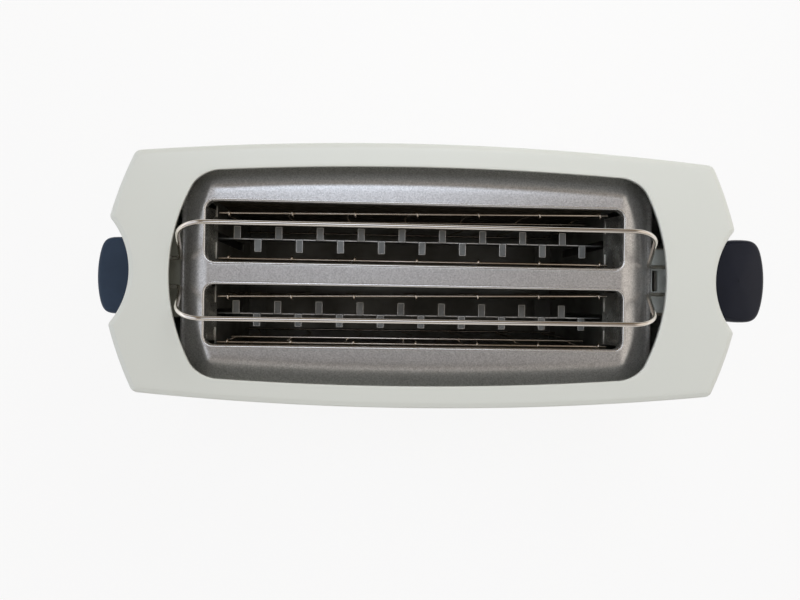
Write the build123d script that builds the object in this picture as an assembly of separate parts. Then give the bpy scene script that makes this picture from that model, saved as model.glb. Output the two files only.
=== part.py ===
from build123d import *
import math
import os

# Long-slot toaster with folding warming wires. Millimetres, X along the slots, Y across, Z up.
# The origin lies on the resting surface, below the middle of the box round the whole toaster.

# Bread slots
slot_centre_x = -6.7
slot_length = 255.0
slot_width = 36.3
slot_gap = 13.8
slot_corner_radius = 5.4
slot_flange_depth = 6.0
slot_lip_radius = 1.0

# Rim opening in the housing's top, round the slots
opening_shift = 2.6
opening_end_margin = 4.5
opening_side_margin = 17.8
opening_side_bulge = 4.7
opening_end_bulge = 17.9
opening_corner_radius = 14.0
lip_radius = 1.0
skirt_depth = 9.7
skirt_reach = 5.0
skirt_thickness = 1.6
seat_rib_end_gap = 24.0

# Housing seen from above: its tips, corners, and scooped ends; and its height
body_height = 190.0
end_room = 61.4
end_slant = 14.7
rim_width = 10.3
tip_half_width = 31.3
side_bulge = 8.4
end_edge_bulge = 1.0
scoop_depth = 11.4
corner_radius = 4.5
tip_radius = 3.0
least_radius = 0.5
wall = 2.5
top_edge_radius = 3.0

# Top plate
plateau_drop = 6.0
plate_thickness = 1.2
crease_inset = 10.3
side_slope_drop = 6.5
side_slope_overrun = 3.0
side_flange = 4.6
plateau_end_margin = 5.1
plate_end_drop = 9.8
plate_end_gap = 3.5
plate_end_flange = 3.4
plate_end_radius = 6.0

# Plinth, floor and feet
foot_height = 5.0
foot_radius = 9.0
foot_edge_radius = 1.0
foot_plug_radius = 3.0
foot_end_gap = 26.2
foot_side_gap = 25.3
plinth_top = 17.0
plinth_inset = 1.0
plinth_wall = 3.0
plinth_floor = 2.5
plinth_ledge = 8.0
plinth_ledge_thickness = 2.0
chassis_thickness = 1.0
pillar_end_gap = 13.2
pillar_side_gap = 11.3
pillar_radius = 5.0
screw_radius = 1.5
screw_head_radius = 3.0
screw_head_height = 2.2
screw_length = 26.0
screw_slot_half_length = 2.0
screw_slot_half_width = 0.4
screw_slot_depth = 1.0
boss_height = 22.0
boss_roof = 2.0
vent_shift = 6.0
vent_count = 5
vent_width = 3.0
vent_length = 30.0
vent_pitch = 7.0

# Crumb tray
tray_end_gap = 9.5
tray_side_margin = 8.8
tray_height = 6.8
tray_thickness = 1.0
pull_radius = 15.0
pull_depth = 2.0
pull_height = 4.0
crumb_window_margin = 4.0

# End frames, reflectors and heaters
frame_thickness = 1.0
frame_gap = 0.2
frame_side_margin = 10.8
frame_notch_depth = 35.8
strip_slot_half_width = 3.0
strip_slot_margin = 2.0
reflector_side_margin = 8.8
reflector_thickness = 0.6
shoulder_gap = 4.0
board_side_margin = 4.3
board_thickness = 0.8
board_bottom = 40.0
board_top_gap = 6.8
ribbon_count = 9
ribbon_height = 2.0
ribbon_thickness = 0.3
ribbon_margin = 6.0
end_guide_thickness = 0.8
end_guide_bulge = 3.6
end_guide_margin = 1.0

# Bread guards
guard_side_gap = 3.95
guard_wire_radius = 0.75
guard_pivot_z = 34.0
guard_top_drop = 22.0
guard_middle_drop = 68.0
guard_end_gap = 5.0
guard_post_count = 7
guard_post_end_gap = 5.5
guard_pivot_end = 0.6

# Bread carriage
carriage_drop = 57.7
carriage_travel = 68.0
strip_height = 12.0
strip_thickness = 1.0
tab_count = 18
tab_end_gap = 9.52
tab_width = 4.5
tab_length = 8.0
strip_end = 3.0
bracket_thickness = 1.5
bracket_gap = 6.1
bracket_margin = 3.0
bracket_rise = 2.0
slider_depth = 13.0
slider_half_width = 24.0
slider_height = 22.0
rod_radius = 2.5
rod_spacing = 32.0
spring_radius = 4.5
spring_wire = 1.2
keeper_thickness = 2.0
keeper_half_width = 11.0
keeper_half_depth = 5.0
magnet_coil_radius = 7.5
magnet_coil_drop = 4.0
magnet_pole_radius = 3.2
yoke_margin = 1.0
yoke_thickness = 4.0
yoke_leg = 3.0

# Lever knobs and their stems
knob_depth = 36.6
knob_half_width = 26.0
knob_thickness = 13.0
knob_face_radius = 100.0
knob_corner_radius = 12.0
knob_edge_radius = 3.5
knob_gap = 2.5
carriage_knob_drop = 58.5
rack_knob_drop = 20.0
stem_width = 4.0
stem_height = 8.0
stem_grip = 12.0

# End panels and controls
panel_half_width = 24.0
panel_bottom = 22.0
panel_top_drop = 10.0
panel_flange = 4.0
panel_flange_thickness = 1.9
panel_cut_depth = 20.0
lever_slot_margin = 1.0
dial_radius = 12.0
dial_depth = 8.5
dial_edge_radius = 1.5
dial_z = 34.0
dial_shaft_radius = 2.95
dial_hole_gap = 0.5
flute_count = 20
flute_radius = 1.0
flute_offset = 0.5
flute_end = 2.0
pointer_depth = 1.5
pointer_half_width = 1.2
pointer_margin = 2.0
pot_radius = 8.0
pot_depth = 6.0
pot_floor = 0.8
button_z = 53.0
button_pitch = 15.0
button_width = 9.0
button_height = 6.5
button_corner_radius = 1.5
button_edge_radius = 1.0
button_stand = 2.0
button_travel = 2.0
shoulder_width = 1.0
circuit_end_gap = 24.5
circuit_thickness = 1.6
circuit_half_width = 28.0
circuit_height = 39.0
switch_size = 6.0
contact_depth = 8.0
contact_height = 16.0
contact_rise = 12.0
contact_low_y = 18.0
contact_high_y = 27.0
contact_slot_half_height = 0.8

# Warming rack: two wires that fold outwards, worked by the right lever. Its lengths along X start at
# the ends of the slots
wire_radius = 1.3
hinge_drop = 12.0
hinge_y = 8.6
bar_y = 26.7
bar_rise = 25.0
bar_corner_radius = 18.0
foot_bend_radius = 3.2
bar_left_reach = 9.2
bar_right_reach = 8.2
arm_left_reach = 15.4
arm_right_reach = 18.0
crank_length = 21.0
crank_dip = 5.0
crank_gap = 0.5
crank_pin_length = 7.5
fold_gap = 0.9
left_ledge_half_width = 27.0
right_ledge_half_width = 20.0
ledge_thickness = 3.0
ledge_corner_radius = 4.0
ledge_end_margin = 1.0
bearing_length = 5.0
bearing_half_width = 5.0
bearing_top = 4.5
left_bearing_reach = 27.3
right_bearing_reach = 30.6
crank_reach = 39.2
rack_plate_thickness = 1.5
rack_plate_half_width = 33.0
rack_plate_height = 31.0
rack_plate_gap = 1.0
rack_plate_margin = 2.0
tongue_half_width = 5.5
tongue_arm_half_width = 4.0
tongue_reach = 25.1
tongue_drop = 0.5
tongue_slot_before = 2.4
tongue_slot_after = 1.2
tongue_slot_side = 1.2
rack_rod_reach = 34.2
rack_block_height = 11.0
rack_block_half_width = 22.0
rack_block_margin = 2.5
tongue_rise = 12.0
shelf_thickness = 1.5
shelf_clearance = 6.0
shelf_margin = 5.0
shelf_flange_height = 16.0

# Mains inlet
gland_end_gap = 44.2
gland_z = 34.0
gland_radius = 6.0
gland_flange_radius = 9.0
gland_flange_thickness = 2.0
gland_bore_radius = 3.5
gland_barrel_length = 9.0
gland_snap_height = 1.0
gland_snap_thickness = 1.5

# Fits, the overlap of shapes that are joined, and how far a cutting block runs past what it cuts
running = 0.07
loose = 0.3
seat_gap = 0.1
screw_gap = 0.02
overlap = 0.5
past = 5.0


# Radius of an arc over a chord, from half the chord and the bulge
def arc_radius(half_chord, bulge):
    return (half_chord ** 2 + bulge ** 2) / (2 * bulge)


# Places that follow from the sizes above
slot_y = (slot_gap + slot_width) / 2
slot_outer_y = slot_gap / 2 + slot_width
slot_low_x = slot_centre_x - slot_length / 2
slot_high_x = slot_centre_x + slot_length / 2
opening_centre_x = slot_centre_x + opening_shift
opening_corner_half_length = slot_length / 2 + opening_end_margin
opening_corner_half_width = slot_outer_y + opening_side_margin
opening_half_length = opening_corner_half_length + opening_end_bulge
seat_rib_half_length = opening_corner_half_length - seat_rib_end_gap
tip_half_length = slot_length / 2 + end_room
corner_half_length = tip_half_length - end_slant
corner_half_width = opening_corner_half_width + rim_width
scoop_radius = arc_radius(tip_half_width, scoop_depth)
plateau_half_length = slot_length / 2 + plateau_end_margin
plate_knee_half_length = opening_half_length - plate_end_gap - plate_end_flange
plateau_z = body_height - plateau_drop
hinge_z = body_height - hinge_drop
skirt_bottom = body_height - skirt_depth
foot_x = corner_half_length - foot_end_gap
foot_y = corner_half_width - foot_side_gap
pillar_x = corner_half_length - pillar_end_gap
pillar_y = corner_half_width - pillar_side_gap
vent_x = foot_x + vent_shift
tray_half_length = slot_length / 2 - tray_end_gap
tray_half_width = slot_outer_y + tray_side_margin
left_frame_x = slot_low_x - frame_gap
right_frame_x = slot_high_x + frame_gap
frame_half_width = slot_outer_y + frame_side_margin
reflector_y = slot_outer_y + reflector_side_margin
board_y = slot_outer_y + board_side_margin
guard_offset = slot_width / 2 - guard_side_gap
guard_top_z = body_height - guard_top_drop
guard_middle_z = body_height - guard_middle_drop
guard_half_length = slot_length / 2 - guard_end_gap
guard_post_pitch = 2 * (guard_half_length - guard_post_end_gap) / (guard_post_count - 1)
tab_pitch = (slot_length - 2 * tab_end_gap) / (tab_count - 1)
panel_top = body_height - panel_top_drop
circuit_x = tip_half_length - circuit_end_gap
gland_x = gland_end_gap - corner_half_length
bar_left_x = slot_low_x - bar_left_reach
bar_right_x = slot_high_x + bar_right_reach
arm_left_x = slot_low_x - arm_left_reach
arm_right_x = slot_high_x + arm_right_reach
left_bearing_x = slot_low_x - left_bearing_reach
right_bearing_x = slot_high_x + right_bearing_reach
crank_x = slot_high_x + crank_reach
tongue_x = slot_high_x + tongue_reach
rack_rod_x = slot_high_x + rack_rod_reach
floor_top = plinth_top + chassis_thickness
plate_underside = plateau_z - plate_thickness
board_top = plate_underside - board_top_gap
ledge_top = plateau_z - plate_end_drop - plate_thickness
ledge_bottom = ledge_top - ledge_thickness
notch_z = plate_underside - frame_notch_depth
strip_top = body_height - carriage_drop
strip_bottom = strip_top - strip_height
bracket_x = left_frame_x - frame_thickness - bracket_gap
slider_x = bracket_x - bracket_thickness
rod_x = slider_x - slider_depth / 2
scoop_centre_x = tip_half_length - scoop_depth + scoop_radius
carriage_knob_z = body_height - carriage_knob_drop
rack_knob_z = body_height - rack_knob_drop
slider_top = carriage_knob_z + stem_height / 2
arm_length = math.hypot(bar_y - hinge_y, bar_rise + hinge_drop)
arm_angle = math.degrees(math.atan2(bar_rise + hinge_drop, bar_y - hinge_y))
folded_angle = math.degrees(math.asin((plateau_z + wire_radius + fold_gap - hinge_z) / arm_length))
fold_swing = arm_angle - folded_angle
rack_travel = crank_length * (
    math.sin(math.radians(crank_dip + fold_swing)) - math.sin(math.radians(crank_dip))
)
rack_plate_x = crank_x + wire_radius + rack_plate_gap
rack_plate_top = hinge_z + wire_radius + rack_plate_margin
rack_plate_low = rack_plate_top - rack_plate_height
shelf_top = rack_plate_low - rack_travel - shelf_clearance
knob_inner_x = tip_half_length - scoop_depth + knob_gap
knob_reach = knob_inner_x + knob_depth
circuit_face_x = -circuit_x - circuit_thickness
magnet_top = slider_top - slider_height - keeper_thickness - carriage_travel - loose
tray_bottom = foot_height + plinth_floor + loose


# Upright solid on a plan outline, between two heights
def prism(outline, low, high):
    return extrude(Pos(0, 0, low) * outline, amount=high - low, dir=(0, 0, 1))


# Box between a low and a high bound on each axis
def block(x, y, z):
    bounds = (x, y, z)
    middle = [(low + high) / 2 for low, high in bounds]
    return Pos(*middle) * Box(*[high - low for low, high in bounds])


# Round bar between two points
def bar(start, end, radius):
    line = Vector(*end) - Vector(*start)
    return Solid.make_cylinder(radius, line.length, Plane(origin=start, z_dir=line))


# Centre and radius of the arc over a chord that stands out by a bulge, drawn in by an amount
def arc_circle(start, end, bulge, drawn_in):
    chord = end - start
    outward = chord.normalized().rotate(Axis.Z, -90)
    radius = arc_radius(chord.length / 2, bulge)
    return (start + end) / 2 + outward * (bulge - radius), abs(radius - drawn_in)


# The point nearest to a place where two circles meet
def meeting_point(first, second, place):
    line = second[0] - first[0]
    along = (first[1] ** 2 - second[1] ** 2 + line.length ** 2) / (2 * line.length)
    aside = math.sqrt(first[1] ** 2 - along ** 2)
    foot = first[0] + line.normalized() * along
    across = line.normalized().rotate(Axis.Z, 90) * aside
    return min(foot + across, foot - across, key=lambda point: (point - place).length)


# Face whose sides are arcs from corner to corner, each standing out of its chord by its bulge
def arc_outline(corners, bulges, drawn_in):
    starts = [Vector(*corner) for corner in corners]
    ends = starts[1:] + starts[:1]
    circles = [arc_circle(*side, drawn_in) for side in zip(starts, ends, bulges)]
    before = circles[-1:] + circles[:-1]
    points = [meeting_point(*meeting) for meeting in zip(before, circles, starts)]
    edges = []
    for (centre, radius), start, end in zip(circles, points, points[1:] + points[:1]):
        middle = centre + ((start + end) / 2 - centre).normalized() * radius
        edges.append(ThreePointArc(start, middle, end))
    return Face(Wire(edges))


# Housing outline seen from above: bowed long sides, slanted ends, a scoop in the middle of each end
def body_outline(drawn_in=0.0):
    corners = [
        (corner_half_length, corner_half_width),
        (-corner_half_length, corner_half_width),
        (-tip_half_length, tip_half_width),
        (-tip_half_length, -tip_half_width),
        (-corner_half_length, -corner_half_width),
        (corner_half_length, -corner_half_width),
        (tip_half_length, -tip_half_width),
        (tip_half_length, tip_half_width),
    ]
    half = [side_bulge, end_edge_bulge, -scoop_depth, end_edge_bulge]
    face = arc_outline(corners, half + half, drawn_in)
    middle_y = (corner_half_width + tip_half_width) / 2
    tips = [v for v in face.vertices() if abs(v.Y) < middle_y]
    face = face.fillet_2d(max(tip_radius - drawn_in, least_radius), tips)
    shoulders = [v for v in face.vertices() if abs(v.Y) > middle_y]
    return face.fillet_2d(max(corner_radius - drawn_in, least_radius), shoulders)


# Opening in the housing's top, with bowed sides and ends
def opening_outline(drawn_in=0.0):
    side_radius = arc_radius(opening_corner_half_length, opening_side_bulge)
    end_radius = arc_radius(opening_corner_half_width, opening_end_bulge)
    side_centre = side_radius - opening_corner_half_width - opening_side_bulge
    side_disc = Circle(side_radius - drawn_in)
    plan = (Pos(0, side_centre) * side_disc) & (Pos(0, -side_centre) * side_disc)
    plan &= SlotOverall(2 * (opening_half_length - drawn_in), 2 * (end_radius - drawn_in))
    face = plan.face()
    face = face.fillet_2d(opening_corner_radius - drawn_in, face.vertices())
    return Pos(opening_centre_x, 0, 0) * face


# Rounded outline of one bread slot, let out by an amount
def slot_outline(side, let_out=0.0):
    width = slot_width + 2 * let_out
    length = slot_length + 2 * let_out
    shape = RectangleRounded(length, width, slot_corner_radius + let_out)
    return Pos(slot_centre_x, side * slot_y, 0) * shape


# X of the scooped end face at a distance from the middle, on the +X end
def scoop_x(y, depth=0.0):
    return scoop_centre_x - math.sqrt((scoop_radius + depth) ** 2 - y ** 2)


# The wall band of the housing between two depths
def wall_band(near, far, low, high):
    return prism(body_outline(near), low, high) - prism(body_outline(far), low, high)


# Window in the end wall for a panel, on the +X end
def panel_window(margin):
    return block(
        (corner_half_length - panel_cut_depth, tip_half_length + past),
        (-panel_half_width - margin, panel_half_width + margin),
        (panel_bottom - margin, panel_top + margin),
    )


# White shell: walls, top with the rim opening, the skirt round the opening and screw bosses
def make_housing():
    shell = prism(body_outline(), plinth_top, body_height)
    shell = fillet(shell.edges().filter_by_position(Axis.Z, body_height, body_height), top_edge_radius)
    shell -= prism(body_outline(wall), plinth_top, body_height - wall)
    shell += prism(opening_outline(-skirt_reach), skirt_bottom, body_height - wall)
    shell -= prism(opening_outline(skirt_thickness - skirt_reach), skirt_bottom, body_height - wall)
    rib_low = plateau_z - side_slope_drop
    ribs = prism(opening_outline(-skirt_reach), rib_low, skirt_bottom)
    ribs -= prism(opening_outline(skirt_thickness - skirt_reach), rib_low, skirt_bottom)
    shell += ribs & block(
        (opening_centre_x - seat_rib_half_length, opening_centre_x + seat_rib_half_length),
        (-corner_half_width, corner_half_width),
        (rib_low, skirt_bottom),
    )
    shell -= prism(opening_outline(), skirt_bottom, body_height)
    top = shell.faces().sort_by(Axis.Z)[-1]
    shell = fillet(top.inner_wires()[0].edges(), lip_radius)
    inside = prism(body_outline(wall - overlap), floor_top, floor_top + boss_height)
    for x, y in screw_places():
        boss = block(
            (x - pillar_radius, x + pillar_radius),
            (y - pillar_radius, y + pillar_radius),
            (floor_top, floor_top + boss_height),
        )
        reach = block(
            sorted((x, x + math.copysign(corner_half_length, x))),
            sorted((y - math.copysign(pillar_radius, y), y + math.copysign(corner_half_width, y))),
            (floor_top, floor_top + boss_height),
        )
        shell += (boss + reach) & inside
        hole_top = floor_top + boss_height - boss_roof
        shell -= bar((x, y, floor_top), (x, y, hole_top), screw_radius + screw_gap)
    window = panel_window(loose)
    shell -= window
    shell -= mirror(window, about=Plane.YZ)
    return shell - make_gland_hole()


# Silver plate: flat top, creased slopes to the long sides, ends that drop away, two lipped slots
def make_top_plate():
    form = plate_form() - Pos(0, 0, -plate_thickness) * plate_form()
    flange_top = plateau_z - side_slope_drop
    flange = prism(
        opening_outline(-side_slope_overrun - side_flange), flange_top - plate_thickness, flange_top
    )
    flange -= prism(opening_outline(-side_slope_overrun), flange_top - plate_thickness, flange_top)
    form += flange & block(
        (opening_centre_x - seat_rib_half_length, opening_centre_x + seat_rib_half_length),
        (-corner_half_width, corner_half_width),
        (flange_top - plate_thickness, flange_top),
    )
    for side in (-1, 1):
        form += prism(slot_outline(side, plate_thickness), plateau_z - slot_flange_depth, plateau_z)
        form -= prism(slot_outline(side), plateau_z - slot_flange_depth, plateau_z)
    top = form.faces().filter_by(Axis.Z).sort_by(Axis.Z)[-1]
    lips = [edge for wire in top.inner_wires() for edge in wire.edges()]
    return fillet(lips, slot_lip_radius)


# Solid block under the plate's upper surface
def plate_form():
    low = plateau_z - 2 * past - plate_end_drop
    slope_low = plateau_z - side_slope_drop
    run_per_rise = (crease_inset + side_slope_overrun) / side_slope_drop
    crown = loft(
        [
            Pos(0, 0, slope_low) * opening_outline(-side_slope_overrun),
            Pos(0, 0, plateau_z + overlap) * opening_outline(crease_inset + overlap * run_per_rise),
        ],
        ruled=True,
    )
    crown += prism(opening_outline(-side_slope_overrun), low - overlap, slope_low)
    plateau = [slot_centre_x - plateau_half_length, slot_centre_x + plateau_half_length]
    knees = [opening_centre_x - plate_knee_half_length, opening_centre_x + plate_knee_half_length]
    ends = [knees[0] - plate_end_flange, knees[1] + plate_end_flange]
    low_z = plateau_z - plate_end_drop
    corners = [
        (ends[0], low),
        (ends[1], low),
        (ends[1], low_z),
        (knees[1], low_z),
        (plateau[1], plateau_z),
        (plateau[0], plateau_z),
        (knees[0], low_z),
        (ends[0], low_z),
    ]
    side = Face(Wire(Polyline(*[(x, 0, z) for x, z in corners], close=True).edges()))
    rounds = [v for v in side.vertices() if min(abs(v.X - x) for x in plateau + knees) < 0.01]
    side = side.fillet_2d(plate_end_radius, rounds)
    width = corner_half_width
    return crown & extrude(Pos(0, -width, 0) * side, amount=2 * width, dir=(0, 1, 0))


# Places of the four case screws
def screw_places():
    return [(sx * pillar_x, sy * pillar_y) for sx in (-1, 1) for sy in (-1, 1)]


# Places of the four feet
def foot_places():
    return {
        "foot_front_left": (-foot_x, -foot_y),
        "foot_front_right": (foot_x, -foot_y),
        "foot_back_left": (-foot_x, foot_y),
        "foot_back_right": (foot_x, foot_y),
    }


# Dark plinth: floor, wall, inner ledge for the chassis, screw pillars and the tray's window
def make_base_plinth():
    base = prism(body_outline(plinth_inset), foot_height, foot_height + plinth_floor)
    base += wall_band(plinth_inset, plinth_inset + plinth_wall, foot_height, plinth_top)
    ledge_low = plinth_top - plinth_ledge_thickness
    ledge_far = plinth_inset + plinth_wall + plinth_ledge
    base += wall_band(plinth_inset + plinth_wall - overlap, ledge_far, ledge_low, plinth_top)
    for x, y in screw_places():
        base += bar((x, y, foot_height), (x, y, plinth_top), pillar_radius)
        base -= bar((x, y, foot_height), (x, y, plinth_top), screw_radius + loose)
        recess_top = foot_height + screw_head_height
        base -= bar((x, y, foot_height), (x, y, recess_top), screw_head_radius + loose)
    for x, y in foot_places().values():
        base -= bar((x, y, foot_height), (x, y, foot_height + plinth_floor), foot_plug_radius + loose)
    for end in (-1, 1):
        for index in range(vent_count):
            y = (index - (vent_count - 1) / 2) * vent_pitch
            base -= block(
                (end * vent_x - vent_length / 2, end * vent_x + vent_length / 2),
                (y - vent_width / 2, y + vent_width / 2),
                (foot_height, foot_height + plinth_floor),
            )
    base -= block(
        (slot_centre_x - tray_half_length - loose, slot_centre_x + tray_half_length + loose),
        (0, corner_half_width + side_bulge + past),
        (foot_height + plinth_floor, plinth_top - plinth_ledge_thickness),
    )
    return base


# Chassis sheet that carries the works, with the crumb window
def make_chassis_floor():
    sheet = prism(body_outline(wall + loose), plinth_top, floor_top)
    half_length = tray_half_length - crumb_window_margin
    half_width = tray_half_width - crumb_window_margin
    sheet -= block(
        (slot_centre_x - half_length, slot_centre_x + half_length),
        (-half_width, half_width),
        (plinth_top, floor_top),
    )
    for x, y in screw_places():
        sheet -= bar((x, y, plinth_top), (x, y, floor_top), screw_radius + loose)
    return sheet


# Case screws: pan head and shank, one solid each
def make_case_screws():
    screws = []
    for x, y in screw_places():
        low = foot_height + seat_gap
        head = bar((x, y, low), (x, y, foot_height + screw_head_height), screw_head_radius)
        shank = bar((x, y, low), (x, y, low + screw_length), screw_radius)
        slot = block(
            (x - screw_slot_half_length, x + screw_slot_half_length),
            (y - screw_slot_half_width, y + screw_slot_half_width),
            (low, low + screw_slot_depth),
        )
        screws.append(head + shank - slot)
    return screws


# One rubber foot with the plug that holds it in the plinth floor
def make_foot(x, y):
    pad = bar((x, y, 0), (x, y, foot_height), foot_radius)
    pad = fillet(pad.edges().sort_by(Axis.Z)[0], foot_edge_radius)
    return pad + bar((x, y, foot_height), (x, y, foot_height + plinth_floor), foot_plug_radius)


# Crumb tray with the front that fills the window in the plinth's back
def make_crumb_tray():
    x = (slot_centre_x - tray_half_length, slot_centre_x + tray_half_length)
    top = tray_bottom + tray_height
    tray = block(x, (-tray_half_width, corner_half_width), (tray_bottom, top))
    tray &= prism(body_outline(plinth_inset + plinth_wall), tray_bottom, top)
    tray -= prism(body_outline(plinth_inset + plinth_wall + tray_thickness), tray_bottom, top) & block(
        (x[0] + tray_thickness, x[1] - tray_thickness),
        (-tray_half_width + tray_thickness, corner_half_width + side_bulge),
        (tray_bottom + tray_thickness, top),
    )
    front = wall_band(plinth_inset, plinth_inset + plinth_wall + overlap, tray_bottom, top)
    front &= block(x, (0, corner_half_width + side_bulge + past), (tray_bottom, top))
    pull_y = corner_half_width + side_bulge - plinth_inset + pull_radius - pull_depth
    pull_low = (slot_centre_x, pull_y, tray_bottom)
    pull_high = (slot_centre_x, pull_y, tray_bottom + pull_height)
    return tray + front - bar(pull_low, pull_high, pull_radius)


# One end frame: sheet with notches for the slots, carriage slots and guard pivot holes
def make_end_frame(x_low):
    x = (x_low, x_low + frame_thickness)
    sheet = block(x, (-frame_half_width, frame_half_width), (floor_top, plate_underside))
    notch_half = slot_width / 2 + plate_thickness + loose
    slot_low = strip_bottom - carriage_travel - strip_slot_margin
    for side in (-1, 1):
        y = side * slot_y
        sheet -= block(x, (y - notch_half, y + notch_half), (notch_z, plate_underside))
        shoulder = sorted((y + side * notch_half, side * frame_half_width))
        sheet -= block(x, shoulder, (plate_underside - shoulder_gap, plate_underside))
        sheet -= block(x, (y - strip_slot_half_width, y + strip_slot_half_width), (slot_low, notch_z))
        for lean in (-1, 1):
            pivot_y = y + lean * guard_offset
            ends = [(end_x, pivot_y, guard_pivot_z) for end_x in x]
            sheet -= bar(*ends, guard_wire_radius + running)
    return sheet


# Curved sheets that lead the bread past one end of the slots; out is -1 on the left, 1 on the right
def make_end_guides(x_near, out):
    low = notch_z
    high = plateau_z - slot_flange_depth - loose
    start = (x_near, 0, low)
    middle = (x_near + out * end_guide_bulge, 0, (low + high) / 2)
    end = (x_near, 0, high)
    shift = Vector(out * end_guide_thickness, 0, 0)
    near = ThreePointArc(start, middle, end)
    far = ThreePointArc(Vector(*start) + shift, Vector(*middle) + shift, Vector(*end) + shift)
    closing = [Line(near @ 1, far @ 1), Line(far @ 0, near @ 0)]
    section = Face(Wire([near, far] + closing))
    half = slot_width / 2 - end_guide_margin
    guides = []
    for side in (-1, 1):
        guides.append(extrude(Pos(0, side * slot_y - half, 0) * section, amount=2 * half, dir=(0, 1, 0)))
    return guides


# One bread guard: posts on a pivot wire, with a middle and a top wire
def make_guard(y):
    reach = frame_thickness + guard_pivot_end
    pivot_ends = [(x, y, guard_pivot_z) for x in (left_frame_x - reach, right_frame_x + reach)]
    guard = bar(*pivot_ends, guard_wire_radius)
    left = slot_centre_x - guard_half_length
    right = slot_centre_x + guard_half_length
    for z in (guard_middle_z, guard_top_z):
        guard += bar((left, y, z), (right, y, z), guard_wire_radius)
    for index in range(guard_post_count):
        x = slot_centre_x + (index - (guard_post_count - 1) / 2) * guard_post_pitch
        guard += bar((x, y, guard_pivot_z), (x, y, guard_top_z), guard_wire_radius)
    return guard


# One mica heater board between the end frames
def make_heater_board(y):
    half = board_thickness / 2
    return block((left_frame_x, right_frame_x), (y - half, y + half), (board_bottom, board_top))


# Flat heating ribbon runs on the faces of one board; faces lists the sides that carry it
def make_heater_ribbon(y, faces):
    runs = []
    step = (board_top - board_bottom) / (ribbon_count + 1)
    for face in faces:
        near = y + face * board_thickness / 2
        far = near + face * ribbon_thickness
        for index in range(ribbon_count):
            z = board_bottom + (index + 1) * step
            runs.append(
                block(
                    (left_frame_x + ribbon_margin, right_frame_x - ribbon_margin),
                    sorted((near, far)),
                    (z - ribbon_height / 2, z + ribbon_height / 2),
                )
            )
    return runs


# One polished side reflector on the chassis sheet
def make_reflector(side):
    y = sorted((side * reflector_y, side * (reflector_y + reflector_thickness)))
    return block((left_frame_x, right_frame_x), y, (floor_top, plate_underside - shoulder_gap))


# One bread strip on edge, with tabs bent out to both sides in turn
def make_carrier_strip(y):
    half = strip_thickness / 2
    end_x = right_frame_x + frame_thickness + strip_end
    strip = block((bracket_x, end_x), (y - half, y + half), (strip_bottom, strip_top))
    for index in range(tab_count):
        x = slot_centre_x + (index - (tab_count - 1) / 2) * tab_pitch
        lean = 1 if index % 2 == 0 else -1
        tab = block(
            (x - tab_width / 2, x + tab_width / 2),
            sorted((y, y + lean * (half + tab_length))),
            (strip_top - strip_thickness, strip_top),
        )
        strip += tab
    return strip


# Steel bracket that joins the two strips behind the left end frame
def make_carriage_bracket():
    reach = slot_y + bracket_margin
    return block((slider_x, bracket_x), (-reach, reach), (strip_bottom, strip_top + bracket_rise))


# Nylon slider that runs on the two rods
def make_carriage_slider():
    low = slider_top - slider_height
    body = block(
        (slider_x - slider_depth, slider_x), (-slider_half_width, slider_half_width), (low, slider_top)
    )
    for side in (-1, 1):
        y = side * rod_spacing / 2
        body -= bar((rod_x, y, low), (rod_x, y, slider_top), rod_radius + running)
    return body


# Rods under a ledge, on both sides of the middle
def make_rods(x, low):
    y = rod_spacing / 2
    return [bar((x, side * y, low), (x, side * y, ledge_bottom), rod_radius) for side in (-1, 1)]


# Lift spring in its closed outer shape, between the slider and the left ledge
def make_lift_spring():
    outer = bar((rod_x, 0, slider_top), (rod_x, 0, ledge_bottom), spring_radius)
    return outer - bar((rod_x, 0, slider_top), (rod_x, 0, ledge_bottom), spring_radius - spring_wire)


# Steel keeper under the slider, which the magnet holds
def make_keeper_plate():
    high = slider_top - slider_height
    return block(
        (rod_x - keeper_half_depth, rod_x + keeper_half_depth),
        (-keeper_half_width, keeper_half_width),
        (high - keeper_thickness, high),
    )


# Magnet core: yoke with two legs and a round pole, just under the lowered keeper
def make_magnet_core():
    x = (rod_x - keeper_half_depth - yoke_margin, rod_x + keeper_half_depth + yoke_margin)
    y = keeper_half_width + yoke_margin
    core = block(x, (-y, y), (floor_top, floor_top + yoke_thickness))
    for side in (-1, 1):
        core += block(x, sorted((side * (y - yoke_leg), side * y)), (floor_top, magnet_top))
    return core + bar((rod_x, 0, floor_top), (rod_x, 0, magnet_top), magnet_pole_radius)


# Magnet coil round the pole
def make_magnet_coil():
    low = (rod_x, 0, floor_top + yoke_thickness)
    high = (rod_x, 0, magnet_top - magnet_coil_drop)
    return bar(low, high, magnet_coil_radius) - bar(low, high, magnet_pole_radius + seat_gap)


# Stem from a slider to its knob, on the +X side
def make_stem(x_from, z):
    return block(
        (x_from, knob_inner_x + stem_grip),
        (-stem_width / 2, stem_width / 2),
        (z - stem_height / 2, z + stem_height / 2),
    )


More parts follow.
